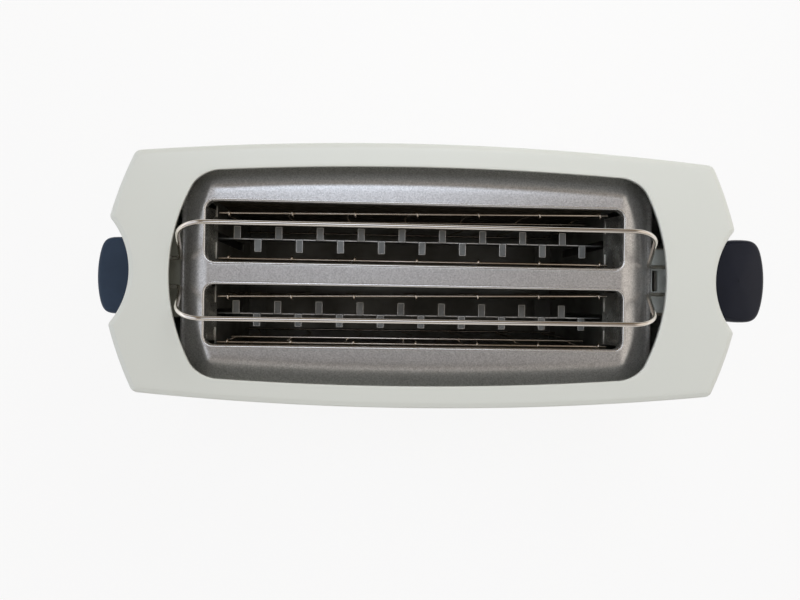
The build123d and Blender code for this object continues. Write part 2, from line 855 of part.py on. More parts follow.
# Oval lever knob on the +X side: its inner side follows the scoop
def make_knob(z):
    inner = Pos(scoop_centre_x, 0, 0) * Circle(scoop_radius - knob_gap)
    outer = Pos(knob_reach - knob_face_radius, 0, 0) * Circle(knob_face_radius)
    band = Pos(knob_reach, 0, 0) * Rectangle(2 * (knob_reach - corner_half_length), 2 * knob_half_width)
    plan = (inner & outer & band).face()
    middle_x = (knob_inner_x + knob_reach) / 2
    far = [v for v in plan.vertices() if v.X > middle_x]
    near = [v for v in plan.vertices() if v.X < middle_x]
    plan = plan.fillet_2d(knob_corner_radius, far)
    near = [v for v in plan.vertices() if min(math.dist(tuple(v), tuple(n)) for n in near) < 0.1]
    plan = plan.fillet_2d(knob_edge_radius, near)
    knob = prism(plan, z - knob_thickness / 2, z + knob_thickness / 2)
    rims = knob.edges().filter_by_position(Axis.Z, z + knob_thickness / 2, z + knob_thickness / 2)
    rims += knob.edges().filter_by_position(Axis.Z, z - knob_thickness / 2, z - knob_thickness / 2)
    knob = fillet(rims, knob_edge_radius)
    return knob - make_stem(0, z)


# End panel on the +X side that fills the window, with its flange inside and the lever's slot
def make_panel(stem_low, stem_high):
    window = panel_window(0)
    panel = wall_band(0, wall + panel_flange_thickness, panel_bottom, panel_top) & window
    back = wall_band(
        wall + seat_gap, wall + panel_flange_thickness, panel_bottom - panel_flange, panel_top + panel_flange
    )
    panel += back & panel_window(panel_flange)
    gap = stem_width / 2 + loose
    margin = stem_height / 2 + lever_slot_margin
    x = (corner_half_length - panel_cut_depth, tip_half_length)
    return panel - block(x, (-gap, gap), (stem_low - margin, stem_high + margin))


# Left panel: lever slot, dial hole and button holes
def make_control_panel():
    panel = mirror(make_panel(carriage_knob_z - carriage_travel, carriage_knob_z), about=Plane.YZ)
    far = -tip_half_length
    near = -corner_half_length + panel_cut_depth
    panel -= bar((far, 0, dial_z), (near, 0, dial_z), dial_shaft_radius + dial_hole_gap)
    for y in button_places():
        panel -= button_block(y, far, near, loose)
    return panel


# Y places of the three buttons
def button_places():
    return [-button_pitch, 0.0, button_pitch]


# Rounded bar along X with a button's section let out by a margin
def button_block(y, far, near, margin):
    size = (button_width + 2 * margin, button_height + 2 * margin)
    section = RectangleRounded(*size, button_corner_radius + margin)
    plane = Plane(origin=(far, y, button_z), x_dir=(0, 1, 0), z_dir=(1, 0, 0))
    return extrude(plane * section, amount=near - far)


# One push button, proud of the scooped panel, with a shoulder that keeps it in
def make_button(y):
    far = -scoop_x(y) - button_stand
    inner_y = max(0.0, abs(y) - button_width / 2 - shoulder_width)
    panel_back = -scoop_x(inner_y, wall + panel_flange_thickness)
    near = circuit_face_x - switch_size / 2 - button_travel - loose
    cap = button_block(y, far, near, 0)
    cap = fillet(cap.faces().sort_by(Axis.X)[0].edges(), button_edge_radius)
    shoulder_far = panel_back + 2 * loose
    return cap + button_block(y, shoulder_far, shoulder_far + shoulder_width, shoulder_width)


# Switches behind the buttons
def make_button_switches():
    half = switch_size / 2
    x = (circuit_face_x - half, circuit_face_x)
    return [block(x, (y - half, y + half), (button_z - half, button_z + half)) for y in button_places()]


# Browning dial: fluted grip, pointer rib and the shaft that turns in the control
def make_browning_dial():
    back = -scoop_x(dial_radius) - loose
    front = back - dial_depth
    dial = bar((back, 0, dial_z), (front, 0, dial_z), dial_radius)
    dial = fillet(dial.edges().sort_by(Axis.X)[0], dial_edge_radius)
    for index in range(flute_count):
        angle = 2 * math.pi * index / flute_count
        y = (dial_radius + flute_offset) * math.sin(angle)
        z = dial_z + (dial_radius + flute_offset) * math.cos(angle)
        dial -= bar((back - flute_end, y, z), (front, y, z), flute_radius)
    rib = block(
        (front - pointer_depth, front),
        (-pointer_half_width, pointer_half_width),
        (dial_z, dial_z + dial_radius - pointer_margin),
    )
    shaft_end = circuit_face_x - pot_floor - seat_gap
    return dial + rib + bar((back, 0, dial_z), (shaft_end, 0, dial_z), dial_shaft_radius)


# Rotary control on the circuit board, with the bore for the dial's shaft
def make_browning_pot():
    front = circuit_face_x - pot_depth
    body = bar((circuit_face_x, 0, dial_z), (front, 0, dial_z), pot_radius)
    bore_end = circuit_face_x - pot_floor
    return body - bar((bore_end, 0, dial_z), (front, 0, dial_z), dial_shaft_radius + running)


# Circuit board upright behind the control panel
def make_circuit_board():
    return block(
        (circuit_face_x, -circuit_x),
        (-circuit_half_width, circuit_half_width),
        (floor_top, floor_top + circuit_height),
    )


# Mains switch block on the inner face of the circuit board
def make_contact_block():
    y = (contact_low_y, contact_high_y)
    low = floor_top + contact_rise
    far = -circuit_x + contact_depth
    body = block((-circuit_x, far), y, (low, low + contact_height))
    for share in (1 / 3, 2 / 3):
        middle = low + share * contact_height
        z = (middle - contact_slot_half_height, middle + contact_slot_half_height)
        body -= block((far - contact_depth / 2, far), y, z)
    return body


# Ledge at one end of the plate, fixed to the end frame, with a bearing for each wire
def make_rack_ledge(x_low, x_high, bearing_x, half_width):
    ledge = block((x_low, x_high), (-half_width, half_width), (ledge_bottom, ledge_top))
    outer_x = max(x_low, x_high, key=abs)
    upright = [e for e in ledge.edges().filter_by(Axis.Z) if abs(e.center().X - outer_x) < 0.1]
    ledge = fillet(upright, ledge_corner_radius)
    for side in (-1, 1):
        ledge -= guide_space(x_low + x_high - outer_x, math.copysign(1, outer_x), side)
    for side in (-1, 1):
        y = side * hinge_y
        x = (bearing_x, bearing_x + bearing_length)
        z = (ledge_top, hinge_z + bearing_top)
        ledge += block(x, (y - bearing_half_width, y + bearing_half_width), z)
        ledge -= bar((x[0], y, hinge_z), (x[1], y, hinge_z), wire_radius + running)
    return ledge


# Room that a slot guide needs beside an end frame
def guide_space(frame_x, out, side):
    reach = end_guide_bulge + end_guide_thickness
    half = slot_width / 2
    y = side * slot_y
    x = sorted((frame_x - out * frame_thickness, frame_x + out * reach))
    return block(x, (y - half, y + half), (ledge_bottom, ledge_top))


# Right ledge: also has the opening that the lift plate's tongue rises through
def make_right_ledge():
    end = crank_x - wire_radius - crank_gap
    start = right_frame_x + frame_thickness
    ledge = make_rack_ledge(start, end, right_bearing_x, right_ledge_half_width)
    return ledge - block(
        (tongue_x - tongue_slot_before, tongue_x + tongue_slot_after),
        (-tongue_half_width - tongue_slot_side, tongue_half_width + tongue_slot_side),
        (ledge_bottom, ledge_top),
    )


# Left ledge
def make_left_ledge():
    end = left_bearing_x - bearing_length
    start = left_frame_x - frame_thickness
    return make_rack_ledge(end - ledge_end_margin, start, end, left_ledge_half_width)


# Point at an angle above the horizontal, outward from a wire's hinge line
def about_hinge(side, angle, radius, x):
    turn = math.radians(angle)
    return (x, side * (hinge_y + radius * math.cos(turn)), hinge_z + radius * math.sin(turn))


# One warming wire, raised: hinge bar, splayed arms, long bar, and the crank at its right end
def make_rack_wire(side):
    hinge_start = (left_bearing_x - bearing_length, side * hinge_y, hinge_z)
    points = [
        hinge_start,
        (arm_left_x, side * hinge_y, hinge_z),
        about_hinge(side, arm_angle, arm_length, bar_left_x),
        about_hinge(side, arm_angle, arm_length, bar_right_x),
        (arm_right_x, side * hinge_y, hinge_z),
        (crank_x, side * hinge_y, hinge_z),
        about_hinge(side, -crank_dip, crank_length, crank_x),
        about_hinge(side, -crank_dip, crank_length, crank_x + crank_pin_length),
    ]
    bends = [foot_bend_radius] + [bar_corner_radius] * 2 + [foot_bend_radius] * 3
    path = FilletPolyline(*points, radius=bends)
    start = Plane(origin=path @ 0, z_dir=path % 0)
    return sweep(start * Circle(wire_radius), path=path)


# Steel lift plate with a slot for each crank pin, and the tongue that runs in the right ledge
def make_rack_plate():
    x = (rack_plate_x, rack_plate_x + rack_plate_thickness)
    plate = block(x, (-rack_plate_half_width, rack_plate_half_width), (rack_plate_low, rack_plate_top))
    for side in (-1, 1):
        start = about_hinge(side, -crank_dip, crank_length, 0)
        middle = about_hinge(side, -crank_dip - fold_swing / 2, crank_length, 0)
        end = about_hinge(side, -crank_dip - fold_swing, crank_length, 0)
        margin = wire_radius + loose
        plate -= block(
            x,
            sorted((start[1] + side * margin, end[1] - side * margin)),
            (middle[2] + rack_travel / 2 - margin, start[2] + margin),
        )
    low = rack_plate_low + tongue_rise
    reach = tongue_x - rack_plate_thickness / 2
    tongue = block(
        (reach, x[0]), (-tongue_arm_half_width, tongue_arm_half_width), (low, low + rack_plate_thickness)
    )
    tongue += block(
        (reach, reach + rack_plate_thickness),
        (-tongue_half_width, tongue_half_width),
        (low, ledge_top - tongue_drop),
    )
    return plate + tongue


# Nylon block on the rack's rods, fixed to the lift plate
def make_rack_block():
    high = rack_plate_low + rack_block_height
    body = block(
        (rack_rod_x - rod_radius - rack_block_margin, rack_plate_x),
        (-rack_block_half_width, rack_block_half_width),
        (rack_plate_low, high),
    )
    for side in (-1, 1):
        y = side * rod_spacing / 2
        body -= bar((rack_rod_x, y, rack_plate_low), (rack_rod_x, y, high), rod_radius + running)
    return body


# Angle shelf on the right end frame, which the rack's rods stand on
def make_rack_shelf():
    x = right_frame_x + frame_thickness
    y = (-rack_block_half_width, rack_block_half_width)
    shelf = block((x, rack_rod_x + shelf_margin), y, (shelf_top - shelf_thickness, shelf_top))
    return shelf + block((x, x + shelf_thickness), y, (shelf_top - shelf_flange_height, shelf_top))


# Plane on the back wall at the inlet, facing out
def gland_plane():
    radius = arc_radius(corner_half_length, side_bulge)
    drop = radius - math.sqrt(radius ** 2 - gland_x ** 2)
    outward = Vector(gland_x / radius, math.sqrt(1 - (gland_x / radius) ** 2), 0)
    wall_y = corner_half_width + side_bulge - drop
    return Plane(origin=(gland_x, wall_y, gland_z), x_dir=(0, 0, 1), z_dir=outward)


# Hole for the inlet in the back wall
def make_gland_hole():
    return gland_plane() * Pos(0, 0, -wall / 2) * Cylinder(gland_radius + seat_gap, wall + 2 * past)


# Mains inlet: flange outside, barrel through the wall, snap ring inside, open bore
def make_cable_gland():
    front = seat_gap + gland_flange_thickness
    ring_middle = -wall - 2 * seat_gap - gland_snap_thickness / 2
    flange_middle = front - gland_flange_thickness / 2
    gland = Pos(0, 0, flange_middle) * Cylinder(gland_flange_radius, gland_flange_thickness)
    gland += Pos(0, 0, front - gland_barrel_length / 2) * Cylinder(gland_radius, gland_barrel_length)
    gland += Pos(0, 0, ring_middle) * Cylinder(gland_radius + gland_snap_height, gland_snap_thickness)
    return gland_plane() * (gland - Cylinder(gland_bore_radius, 2 * gland_barrel_length))


# Every sub-part by the name of its node
def all_parts():
    parts = {
        "housing": make_housing(),
        "top_plate": make_top_plate(),
        "base_plinth": make_base_plinth(),
        "chassis_floor": make_chassis_floor(),
        "crumb_tray": make_crumb_tray(),
        "case_screws": make_case_screws(),
        "control_panel": make_control_panel(),
        "rack_panel": make_panel(rack_knob_z - rack_travel, rack_knob_z),
        "end_frame_left": make_end_frame(left_frame_x - frame_thickness),
        "end_frame_right": make_end_frame(right_frame_x),
        "slot_guides_left": make_end_guides(left_frame_x, -1),
        "slot_guides_right": make_end_guides(right_frame_x, 1),
        "carriage_knob": mirror(make_knob(carriage_knob_z), about=Plane.YZ),
        "carriage_stem": mirror(make_stem(slider_depth - slider_x, carriage_knob_z), about=Plane.YZ),
        "carriage_slider": make_carriage_slider(),
        "carriage_bracket": make_carriage_bracket(),
        "carriage_rods": make_rods(rod_x, floor_top),
        "lift_spring": make_lift_spring(),
        "keeper_plate": make_keeper_plate(),
        "magnet_core": make_magnet_core(),
        "magnet_coil": make_magnet_coil(),
        "circuit_board": make_circuit_board(),
        "contact_block": make_contact_block(),
        "button_switches": make_button_switches(),
        "browning_pot": make_browning_pot(),
        "browning_dial": make_browning_dial(),
        "rack_knob": make_knob(rack_knob_z),
        "rack_stem": make_stem(rack_plate_x + rack_plate_thickness, rack_knob_z),
        "rack_lift_plate": make_rack_plate(),
        "rack_slide_block": make_rack_block(),
        "rack_rods": make_rods(rack_rod_x, shelf_top),
        "rack_shelf": make_rack_shelf(),
        "rack_ledge_left": make_left_ledge(),
        "rack_ledge_right": make_right_ledge(),
        "cable_gland": make_cable_gland(),
    }
    for name, (x, y) in foot_places().items():
        parts[name] = make_foot(x, y)
    for name, y in zip(("stop_button", "defrost_button", "reheat_button"), button_places()):
        parts[name] = make_button(y)
    for name, side in (("front", -1), ("back", 1)):
        parts["carrier_strip_" + name] = make_carrier_strip(side * slot_y)
        parts["rack_wire_" + name] = make_rack_wire(side)
        parts["reflector_" + name] = make_reflector(side)
        parts["heater_board_" + name] = make_heater_board(side * board_y)
        parts["heater_ribbon_" + name] = make_heater_ribbon(side * board_y, [-side])
        parts["guard_" + name + "_outer"] = make_guard(side * (slot_y + guard_offset))
        parts["guard_" + name + "_inner"] = make_guard(side * (slot_y - guard_offset))
    parts["heater_board_middle"] = make_heater_board(0)
    parts["heater_ribbon_middle"] = make_heater_ribbon(0, [-1, 1])
    return parts


def main():
    os.makedirs("parts", exist_ok=True)
    for name, shape in all_parts().items():
        if isinstance(shape, list):
            shape = Compound(children=[piece.solid() for piece in shape])
        export_step(shape, "parts/" + name + ".step")
    print("rack travel", round(rack_travel, 3), "fold", round(fold_swing, 2), "arm", round(arm_angle, 2))
    print("hinge z", hinge_z, "slot y", slot_y, "carriage rod x", rod_x)


main()
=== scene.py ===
import math

import bpy
import numpy as np
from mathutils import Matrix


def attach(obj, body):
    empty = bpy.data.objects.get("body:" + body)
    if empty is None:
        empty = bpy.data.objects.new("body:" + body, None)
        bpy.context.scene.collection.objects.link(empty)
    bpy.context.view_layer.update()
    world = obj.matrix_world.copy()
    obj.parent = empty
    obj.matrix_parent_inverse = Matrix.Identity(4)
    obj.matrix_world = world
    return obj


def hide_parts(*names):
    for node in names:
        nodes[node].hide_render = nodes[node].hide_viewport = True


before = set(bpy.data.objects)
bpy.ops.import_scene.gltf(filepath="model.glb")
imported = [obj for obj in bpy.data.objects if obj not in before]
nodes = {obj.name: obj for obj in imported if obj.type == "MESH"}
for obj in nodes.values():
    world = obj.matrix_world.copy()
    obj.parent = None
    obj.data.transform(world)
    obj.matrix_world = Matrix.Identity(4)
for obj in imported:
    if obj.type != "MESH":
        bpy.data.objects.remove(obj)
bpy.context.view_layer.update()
mm = 0.001


# Quads between neighbouring rows and columns of a grid of points; a closed direction joins its ends
def gridFaces(rows, cols, closedRows=False, closedCols=False):
    r = np.arange(rows if closedRows else rows - 1)[:, None]
    c = np.arange(cols if closedCols else cols - 1)[None, :]
    nextR, nextC = (r + 1) % rows, (c + 1) % cols
    quads = [r * cols + c, r * cols + nextC, nextR * cols + nextC, nextR * cols + c]
    return np.stack(quads, axis=-1).reshape(-1, 4)


# A grid of points and its quads, ready to be joined into a piece
def gridPart(points, closedRows=False, closedCols=False):
    rows, cols = points.shape[:2]
    return points.reshape(-1, 3), gridFaces(rows, cols, closedRows, closedCols)


# One piece from several grids, in millimetres, shaded smooth except across edges sharper than an angle
def makePiece(name, parts, material, body, stands=(), sharp=40):
    starts = np.cumsum([0] + [len(p) for p, _ in parts[:-1]])
    points = np.concatenate([p for p, _ in parts]) * mm
    faces = np.concatenate([f + s for (_, f), s in zip(parts, starts)])
    mesh = bpy.data.meshes.new(name)
    mesh.from_pydata(points.tolist(), [], faces.tolist())
    mesh.polygons.foreach_set("use_smooth", np.ones(len(faces), bool))
    mesh.set_sharp_from_angle(angle=math.radians(sharp))
    mesh.materials.append(material)
    piece = bpy.data.objects.new(name, mesh)
    bpy.context.scene.collection.objects.link(piece)
    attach(piece, body)
    if stands:
        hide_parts(*stands)
    return piece


# Gives a skin its wall, grown inwards
def addWall(piece, thickness):
    wall = piece.modifiers.new("wall", "SOLIDIFY")
    wall.thickness = thickness * mm
    wall.offset = -1


def unit(v):
    return v / np.linalg.norm(v, axis=-1, keepdims=True)


# Points of a line through corners, each corner a circular arc of its own radius: the arc starts at
# radius / tan(half the angle) from the corner, and its centre lies radius / sin(half the angle) away
def roundedPath(corners, radii, arcSteps=12, lineStep=12.0):
    corners = [np.array(c, float) for c in corners]
    line = [corners[0][None]]
    for before, corner, after, radius in zip(corners, corners[1:], corners[2:], radii):
        a, b = unit(before - corner), unit(after - corner)
        half = math.acos(float(np.clip(a @ b, -1, 1))) / 2
        centre = corner + unit(a + b) * radius / math.sin(half)
        u = unit(corner + a * radius / math.tan(half) - centre)
        w = unit(corner + b * radius / math.tan(half) - centre)
        turn = math.acos(float(np.clip(u @ w, -1, 1)))
        t = np.linspace(0, 1, arcSteps + 1)[:, None]
        line.append(centre + radius * (np.sin((1 - t) * turn) * u + np.sin(t * turn) * w) / math.sin(turn))
    line.append(corners[-1][None])
    dense = [line[0]]
    for start, part in zip(line, line[1:]):  # straight runs between the arcs get points of their own
        gap = part[0] - start[-1]
        count = max(1, int(np.linalg.norm(gap) / lineStep))
        dense.append(start[-1] + gap * (np.arange(1, count) / count)[:, None])
        dense.append(part)
    return np.concatenate(dense)


# Tube round a path: a circle square to the path at each point, drawn in to a domed cap at both ends
def tube(path, radius, sides=16, leaning=(0.05, 0.9, -0.43), dome=0.6):
    along = unit(np.gradient(path, axis=0))
    along[0], along[-1] = unit(path[1] - path[0]), unit(path[-1] - path[-2])
    caps = 4  # rings of each cap
    turn = np.linspace(0, math.pi / 2, caps + 1)
    radii = np.concatenate([np.sin(turn[:-1]), np.ones(len(path)), np.cos(turn[1:])]) * radius
    radii = np.maximum(radii, radius * 0.02)  # the tip stays open by a pinhole
    shift = np.concatenate([-np.cos(turn[:-1]), np.zeros(len(path)), np.sin(turn[1:])]) * radius * dome
    pick = np.concatenate([np.zeros(caps, int), np.arange(len(path)), np.full(caps, len(path) - 1)])
    along, path = along[pick], path[pick] + along[pick] * shift[:, None]
    first = unit(np.cross(along, np.array(leaning)))
    second = np.cross(along, first)
    phi = np.linspace(0, 2 * math.pi, sides, endpoint=False)[None, :, None]
    ring = np.cos(phi) * first[:, None] + np.sin(phi) * second[:, None]
    return gridPart(path[:, None] + ring * radii[:, None, None], closedCols=True)


# Points round a rectangle with rounded corners, anticlockwise, with the outward direction at each
def roundedRectangle(centre, length, width, radius, arcSteps=10, lineSteps=40):
    points, outward = [], []
    for index, (sx, sy) in enumerate([(1, -1), (1, 1), (-1, 1), (-1, -1)]):
        phi = math.pi / 2 * (index - 1) + np.linspace(0, math.pi / 2, arcSteps + 1)
        away = np.stack([np.cos(phi), np.sin(phi)], axis=-1)
        corner = np.array([sx * (length / 2 - radius), sy * (width / 2 - radius)]) + centre
        points.append(corner + away * radius)
        outward.append(away)
    share = (np.arange(1, lineSteps) / lineSteps)[:, None]
    loop, normals = [], []
    for index in range(4):
        end, start = points[index][-1], points[(index + 1) % 4][0]
        loop += [points[index], end + (start - end) * share]
        normals += [outward[index], np.repeat(outward[index][-1:], lineSteps - 1, axis=0)]
    return np.concatenate(loop), np.concatenate(normals)


# A profile of (outward, height) pairs carried round a closed loop
def roundLoop(loop, outward, profile):
    profile = np.array(profile, float)
    flat = loop[None] + outward[None] * profile[:, 0][:, None, None]
    height = np.broadcast_to(profile[:, 1][:, None, None], flat.shape[:2] + (1,))
    return gridPart(np.concatenate([flat, height], axis=-1), closedCols=True)


# Box with bevelled long edges: an eight-sided section carried along X and drawn in at both ends
def bevelledBar(low, high, bevel):
    low, high = np.array(low, float), np.array(high, float)
    sy = np.array([-1, 1, 1, 1, 1, -1, -1, -1])
    sz = np.array([-1, -1, -1, 1, 1, 1, 1, -1])
    inY = np.array([1, 1, 0, 0, 1, 1, 0, 0]) * bevel
    inZ = np.array([0, 0, 1, 1, 0, 0, 1, 1]) * bevel
    middle, half = (low + high) / 2, (high - low) / 2
    rows = []
    whole = 1e3  # drawn in this far, a ring closes to a line
    for x, draw in ((low[0], whole), (low[0], bevel), (low[0] + bevel, 0),
                    (high[0] - bevel, 0), (high[0], bevel), (high[0], whole)):
        y = middle[1] + sy * np.maximum(half[1] - inY - draw, 0.0)
        z = middle[2] + sz * np.maximum(half[2] - inZ - draw, 0.0)
        rows.append(np.stack([np.full(8, x), y, z], axis=-1))
    return gridPart(np.array(rows), closedCols=True)


# Adds a node, sets its properties and fills its inputs; an input given as a socket is linked
def addNode(tree, kind, inputs=None, **settings):
    node = tree.nodes.new("ShaderNode" + kind)
    for key, value in settings.items():
        setattr(node, key, value)
    for key, value in (inputs or {}).items():
        if isinstance(value, bpy.types.NodeSocket):
            tree.links.new(value, node.inputs[key])
        else:
            node.inputs[key].default_value = value
    return node


def mixColours(tree, factor, a, b, blend="MIX"):
    node = addNode(tree, "Mix", {0: factor, 6: a, 7: b}, data_type="RGBA", blend_type=blend)
    return node.outputs[2]


def mathNode(tree, operation, a, b=0.0, c=0.0):
    return addNode(tree, "Math", {0: a, 1: b, 2: c}, operation=operation).outputs[0]


def startGroup(name, inputs, outputs):
    group = bpy.data.node_groups.new(name, "ShaderNodeTree")
    kinds = {float: "NodeSocketFloat", tuple: "NodeSocketColor"}
    for label, value in inputs.items():
        socket = group.interface.new_socket(name=label, in_out="INPUT", socket_type=kinds[type(value)])
        socket.default_value = value
    for label, kind in outputs.items():
        group.interface.new_socket(name=label, in_out="OUTPUT", socket_type=kinds[kind])
    return group, group.nodes.new("NodeGroupInput"), group.nodes.new("NodeGroupOutput")


# Broad patches between two tones, a fine grain over them, and a roughness that follows the patches
def makeToneGroup():
    inputs = {
        "Tone": (0.5, 0.5, 0.5, 1.0), "Patch Tone": (0.5, 0.5, 0.5, 1.0), "Patch Size": 20.0,
        "Patch Share": 0.5, "Grain Size": 800.0, "Grain": 0.05, "Smooth": 0.3, "Rough": 0.5,
    }
    outputs = {"Color": tuple, "Roughness": float, "Height": float}
    group, enter, leave = startGroup("toneAndGrain", inputs, outputs)
    place = addNode(group, "TexCoord").outputs["Object"]
    patch = addNode(group, "TexNoise", {"Vector": place, "Scale": enter.outputs["Patch Size"], "Detail": 4.0})
    spread = addNode(group, "MapRange", {"Value": patch.outputs[0], "From Min": 0.36, "From Max": 0.66})
    spread = spread.outputs[0]
    grain = addNode(group, "TexNoise", {"Vector": place, "Scale": enter.outputs["Grain Size"], "Detail": 2.0})
    grain = grain.outputs[0]
    share = mathNode(group, "MULTIPLY", spread, enter.outputs["Patch Share"])
    colour = mixColours(group, share, enter.outputs["Tone"], enter.outputs["Patch Tone"])
    swing = mathNode(group, "MULTIPLY", mathNode(group, "SUBTRACT", grain, 0.5), enter.outputs["Grain"])
    level = mathNode(group, "MULTIPLY_ADD", swing, 4.0, 1.0)
    shade = addNode(group, "CombineColor", {0: level, 1: level, 2: level}).outputs[0]
    colour = mixColours(group, 1.0, colour, shade, "MULTIPLY")
    limits = {"Value": spread, "To Min": enter.outputs["Smooth"], "To Max": enter.outputs["Rough"]}
    rough = addNode(group, "MapRange", limits)
    group.links.new(colour, leave.inputs["Color"])
    group.links.new(rough.outputs[0], leave.inputs["Roughness"])
    group.links.new(grain, leave.inputs["Height"])
    return group


# Small flakes of random brightness, as in silver paint: each cell of a fine cell pattern has its own level
def makeFlakeGroup():
    inputs = {"Tone": (0.6, 0.6, 0.6, 1.0), "Flake Size": 1400.0, "Spread": 0.15}
    group, enter, leave = startGroup("silverFlakes", inputs, {"Color": tuple, "Height": float})
    place = addNode(group, "TexCoord").outputs["Object"]
    cells = addNode(group, "TexVoronoi", {"Vector": place, "Scale": enter.outputs["Flake Size"]})
    own = addNode(group, "SeparateColor", {0: cells.outputs["Color"]}).outputs[0]
    wider = mathNode(group, "MULTIPLY", enter.outputs["Flake Size"], 0.7)
    coarse = addNode(group, "TexNoise", {"Vector": place, "Scale": wider, "Detail": 3.0})
    both = mathNode(group, "MULTIPLY_ADD", own, 0.5, coarse.outputs[0])
    swing = mathNode(group, "MULTIPLY", mathNode(group, "SUBTRACT", both, 0.75), enter.outputs["Spread"])
    level = mathNode(group, "MULTIPLY_ADD", swing, 2.0, 1.0)
    shade = addNode(group, "CombineColor", {0: level, 1: level, 2: level}).outputs[0]
    colour = mixColours(group, 1.0, enter.outputs["Tone"], shade, "MULTIPLY")
    group.links.new(colour, leave.inputs["Color"])
    group.links.new(both, leave.inputs["Height"])
    return group


toneGroup = makeToneGroup()
flakeGroup = makeFlakeGroup()


# Sets a shader group into a material with its own values and gives its outputs
def placeGroup(tree, group, values):
    node = tree.nodes.new("ShaderNodeGroup")
    node.node_tree = group
    for label, value in values.items():
        node.inputs[label].default_value = value
    return node.outputs


def srgb(r, g, b):
    return tuple(((c / 255 + 0.055) / 1.055) ** 2.4 for c in (r, g, b)) + (1.0,)


def startMaterial(name):
    material = bpy.data.materials.new(name)
    material.use_nodes = True
    material.node_tree.nodes.clear()
    tree = material.node_tree
    shader = addNode(tree, "BsdfPrincipled")
    leave = addNode(tree, "OutputMaterial")
    tree.links.new(shader.outputs[0], leave.inputs["Surface"])
    return material, tree, shader


bumpDistance = 0.0002


# A finish from the shared tone and grain pattern; look gives its tones, patch, grain, roughness and bump
def makeFinish(name, look):
    material, tree, shader = startMaterial(name)
    smooth, rough = look["roughness"]
    tone = placeGroup(tree, toneGroup, {
        "Tone": srgb(*look["tone"]), "Patch Tone": srgb(*look["patchTone"]), "Patch Share": 0.6,
        "Patch Size": look.get("patchSize", 25.0), "Grain Size": look.get("grainSize", 1500.0),
        "Grain": look["grain"], "Smooth": smooth, "Rough": rough,
    })
    tree.links.new(tone["Color"], shader.inputs["Base Color"])
    tree.links.new(tone["Roughness"], shader.inputs["Roughness"])
    shader.inputs["Metallic"].default_value = look.get("metallic", 0.0)
    shader.inputs["Coat Weight"].default_value = look.get("coat", 0.0)
    shader.inputs["Coat Roughness"].default_value = look.get("coatRoughness", 0.1)
    shader.inputs["Specular IOR Level"].default_value = look.get("specular", 0.5)
    relief = {"Height": tone["Height"], "Strength": look.get("bump", 0.1), "Distance": bumpDistance}
    bump = addNode(tree, "Bump", relief)
    tree.links.new(bump.outputs[0], shader.inputs["Normal"])
    return material


